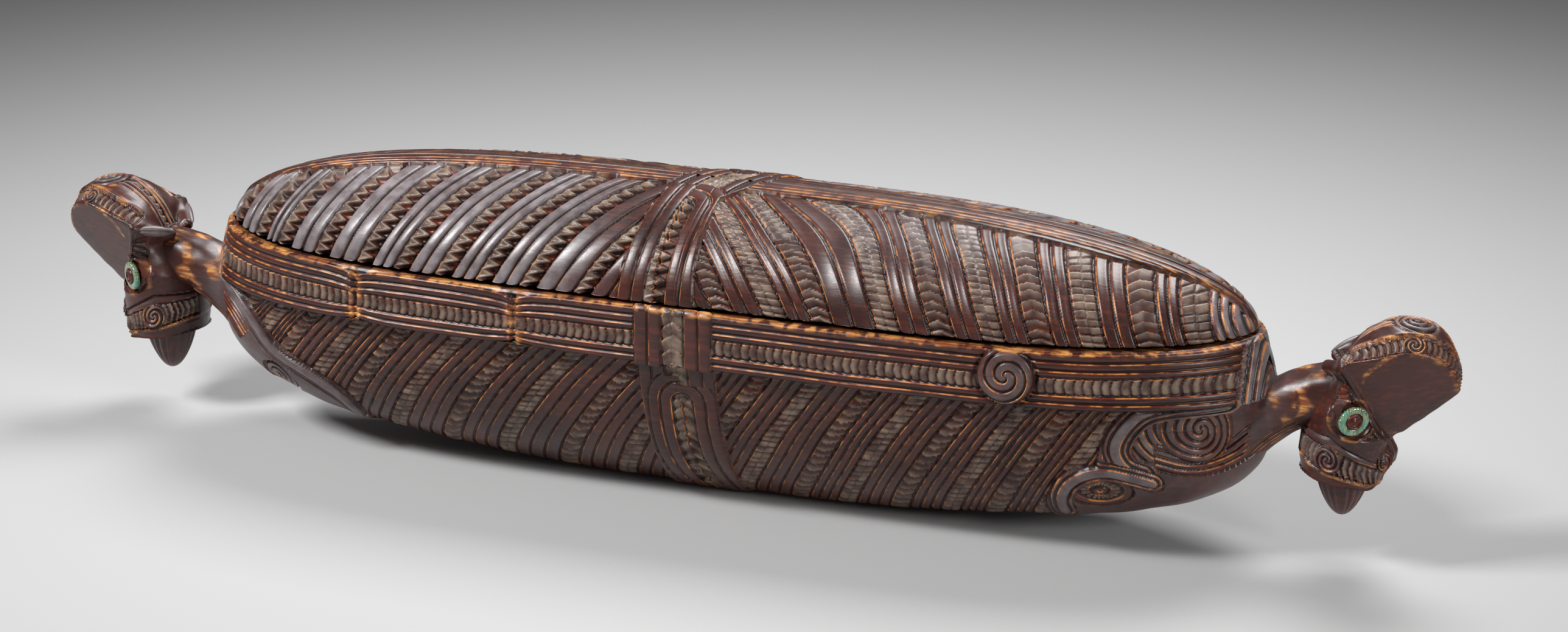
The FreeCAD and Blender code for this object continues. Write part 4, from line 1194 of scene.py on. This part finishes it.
def carved_totara():
    """Totara carved with a chisel, stained and handled: dark red-brown with a deep polish on the ridges,
    orange where the arrises have worn, grey dust in the notched rows with a painted highlight on their
    raised facets, a grey bloom with a painted sheen on the ridges, and painted shade in the grooves
    and deep cuts."""
    material, tree, place = new_material("carved_totara")
    ridge, _, width = attribute_parts(tree, "carve")
    notch, bloom_and_sheen, bare = attribute_parts(tree, "finish_and_sheen")
    relief = attribute_parts(tree, "relief")[0]
    grain = noise(tree, place, 1.6, 5.0, (9.0, 1.0, 1.0))
    cloud = noise(tree, place, 24.0, 3.0)
    speck = noise(tree, place, 0.9, 2.0)
    broken = noise(tree, place, 5.0, 3.0)
    share = calculate(tree, "FRACT", ridge)
    side = calculate(tree, "SUBTRACT", share, calculate(tree, "GREATER_THAN", share, 0.5))
    away = calculate(tree, "MULTIPLY", side, width)
    apart = calculate(tree, "ABSOLUTE", away)
    groove = calculate(tree, "SUBTRACT", 1.0, between(tree, apart, 0.15, 0.75))
    off_arris = calculate(tree, "ABSOLUTE", calculate(tree, "SUBTRACT", away, 0.65))
    arris = calculate(tree, "SUBTRACT", 1.0, between(tree, off_arris, 0.08, 0.3))
    edge_colour = mixed(tree, between(tree, broken, 0.42, 0.62), linear("#6e2816"), linear("#d98a45"))
    wood = mixed(tree, between(tree, cloud, 0.3, 0.7), linear("#2c1512"), linear("#452019"))
    fibre = calculate(tree, "MULTIPLY", between(tree, grain, 0.45, 0.75), 0.55)
    wood = mixed(tree, fibre, wood, linear("#6b2c1a"))
    # Paler grey on the raised parts of the notched rows: dust, partly a painted highlight on facets facing
    # the light.
    dust_and_highlight_grey = mixed(tree, between(tree, broken, 0.3, 0.7), linear("#4d392e"), linear("#94806e"))
    high = between(tree, relief, -1.3, -0.1)
    dust_and_facet_light = calculate(tree, "MULTIPLY", notch, calculate(tree, "MULTIPLY", high, 0.8))
    colour = mixed(tree, dust_and_facet_light, wood, dust_and_highlight_grey)
    # Grey bloom: partly dust, partly a painted sheen on the polished ridges.
    grey_sheen_and_bloom = mixed(tree, between(tree, broken, 0.25, 0.75), linear("#6f6769"), linear("#a39da0"))
    colour = mixed(tree, calculate(tree, "MULTIPLY", bloom_and_sheen, 0.75), colour, grey_sheen_and_bloom)
    # Painted shade: the deepest cuts turn near black, with orange fresh wood among them.
    deep = calculate(tree, "SUBTRACT", 1.0, between(tree, relief, -2.0, -0.9))
    pit = mixed(tree, between(tree, broken, 0.45, 0.6), linear("#1d0d0a"), linear("#7a3418"))
    colour = mixed(tree, calculate(tree, "MULTIPLY", deep, 0.8), colour, pit)
    # Painted shade: the V grooves darkened to near black.
    colour = mixed(tree, calculate(tree, "MULTIPLY", groove, 0.85), colour, linear("#170a08"))
    colour = mixed(tree, calculate(tree, "MULTIPLY", arris, 0.85), colour, edge_colour)
    raw = mixed(tree, between(tree, grain, 0.4, 0.65), linear("#8a4420"), linear("#e0a055"))
    worn = calculate(tree, "MULTIPLY", bare, between(tree, broken, 0.42, 0.58))
    colour = mixed(tree, worn, colour, raw)
    dull = calculate(tree, "ADD", speck, calculate(tree, "MULTIPLY", notch, 0.5))
    rough = add(tree, "ShaderNodeMapRange", i0=dull, i1=0.3, i2=1.1, i3=0.34, i4=0.5).outputs[0]
    bump_height = calculate(tree, "ADD", calculate(tree, "MULTIPLY", grain, 0.25),
                            calculate(tree, "MULTIPLY", groove, -0.8))
    bump = add(tree, "ShaderNodeBump", Strength=0.6, Distance=0.0006, Height=bump_height)
    return finished(material, tree, bump, **{"Base Color": colour, "Roughness": rough, "IOR": 1.5,
                                             "Coat Weight": 0.12, "Coat Roughness": 0.25})


def whittled_peg():
    """Dark wood whittled to a peg and rubbed: uneven red-brown with small facets."""
    material, tree, place = new_material("whittled_peg")
    spots = noise(tree, place, 1.2, 4.0)
    colour = mixed(tree, between(tree, spots, 0.35, 0.65), linear("#2a0f0b"), linear("#6a2a1c"))
    bump = add(tree, "ShaderNodeBump", Strength=0.4, Distance=0.0003, Height=spots)
    return finished(material, tree, bump, **{"Base Color": colour, "Roughness": 0.3})


def paua_shell():
    """Polished shell: thin wavy bands that turn from grey-green to turquoise, with a little violet."""
    material, tree, place = new_material("paua_shell")
    cloud = noise(tree, place, 6.0, 3.0)
    streak = noise(tree, place, 0.7, 4.0, (1.0, 1.0, 4.0))
    colour = mixed(tree, between(tree, streak, 0.35, 0.65), linear("#4f6648"), linear("#94a57c"))
    turquoise = calculate(tree, "MULTIPLY", between(tree, cloud, 0.5, 0.64), 0.6)
    colour = mixed(tree, turquoise, colour, linear("#3f9a80"))
    violet = between(tree, noise(tree, place, 2.2, 3.0), 0.58, 0.68)
    colour = mixed(tree, calculate(tree, "MULTIPLY", violet, 0.5), colour, linear("#8a86a8"))
    bump = add(tree, "ShaderNodeBump", Strength=0.3, Distance=0.0002, Height=streak)
    return finished(material, tree, bump, **{"Base Color": colour, "Roughness": 0.2, "IOR": 1.55,
                                             "Coat Weight": 0.8, "Coat Roughness": 0.08})


# Studio, in metres: name, place, aim, watts and side of each lamp
FLOOR_HALF = 30.0
SOFTBOXES = (("key_softbox", (-1.1, -0.9, 1.5), (0, 0, 0.05), 46.0, 0.5),
             ("top_softbox", (0.1, 0.9, 1.4), (0, 0, 0.08), 26.0, 0.8),
             ("side_softbox", (1.6, -0.7, 0.7), (0.1, 0, 0.06), 14.0, 0.4))
CAMERA_PLACE = (0.6184, -1.5162, 0.6131)
CAMERA_RIGHT = (0.9309, 0.3652, 0.0)
CAMERA_BACK = (0.3464, -0.8830, 0.3167)
CAMERA_LENS = 101.66
CAMERA_SENSOR = 36.0


def studio():
    """Floor with a painted pool of light, pale near the box and darker away from it, soft lamps and a dim
    grey world.
    """
    mesh = bpy.data.meshes.new("studio_floor")
    corners = [(x * FLOOR_HALF, y * FLOOR_HALF, 0.0) for x, y in ((-1, -1), (1, -1), (1, 1), (-1, 1))]
    mesh.from_pydata(corners, [], [(0, 1, 2, 3)])
    floor = bpy.data.objects.new("studio_floor", mesh)
    bpy.context.scene.collection.objects.link(floor)
    material, tree, place = new_material("painted_studio_floor")
    # Painted light: the floor's colour falls from pale to dark grey with distance from the box.
    away = add(tree, "ShaderNodeVectorMath", {"operation": "LENGTH"}, i0=place).outputs["Value"]
    colour = mixed(tree, between(tree, away, 0.1, 1.0), linear("#b4b4b4"), linear("#424242"))
    mesh.materials.append(finished(material, tree, None, **{"Base Color": colour, "Roughness": 0.7,
                                                            "Specular IOR Level": 0.2}))
    for name, spot, aim, power, size in SOFTBOXES:
        lamp = bpy.data.lights.new(name, "AREA")
        lamp.energy = power
        lamp.size = size
        lamp_object = bpy.data.objects.new(name, lamp)
        lamp_object.location = spot
        lamp_object.rotation_euler = (Vector(aim) - Vector(spot)).to_track_quat("-Z", "Y").to_euler()
        bpy.context.scene.collection.objects.link(lamp_object)
    world = bpy.data.worlds.new("studio_world")
    world.use_nodes = True
    world.node_tree.nodes["Background"].inputs[0].default_value = linear("#b8b8ba")
    world.node_tree.nodes["Background"].inputs[1].default_value = 0.25
    bpy.context.scene.world = world


def set_camera():
    """Camera at the photograph's angle, from the fit of the box's outline to the 2576 x 1039 frame."""
    lens = bpy.data.cameras.new("camera")
    lens.lens = CAMERA_LENS
    lens.sensor_width = CAMERA_SENSOR
    lens.clip_end = 50.0
    camera = bpy.data.objects.new("camera", lens)
    right, back = Vector(CAMERA_RIGHT), Vector(CAMERA_BACK)
    turn = Matrix((right, back.cross(right), back)).transposed().to_4x4()
    camera.matrix_world = Matrix.Translation(CAMERA_PLACE) @ turn
    bpy.context.scene.collection.objects.link(camera)
    bpy.context.scene.camera = camera


set_camera()
studio()
materials = {"carved_wood": carved_totara(), "paua_shell": paua_shell(), "peg_wood": whittled_peg()}
pieces = []
for sign in (1.0, -1.0):
    pieces += [(piece, "box_body", "carved_wood") for piece in box_piece(sign)]
    pieces += [(piece, "lid", "carved_wood") for piece in lid_piece(sign)]
pieces += [(piece, "box_body", "carved_wood") for piece in heads() + tongues() + ears() + necks()]
for piece, node, slot in pieces + eyes():
    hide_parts(node)
    piece.data.materials.append(materials[slot])
for name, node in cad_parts.items():
    if name.startswith("eye"):
        node.data.materials.clear()
        node.data.materials.append(materials["paua_shell" if "ring" in name else "peg_wood"])

bpy.context.scene.view_settings.view_transform = "Standard"
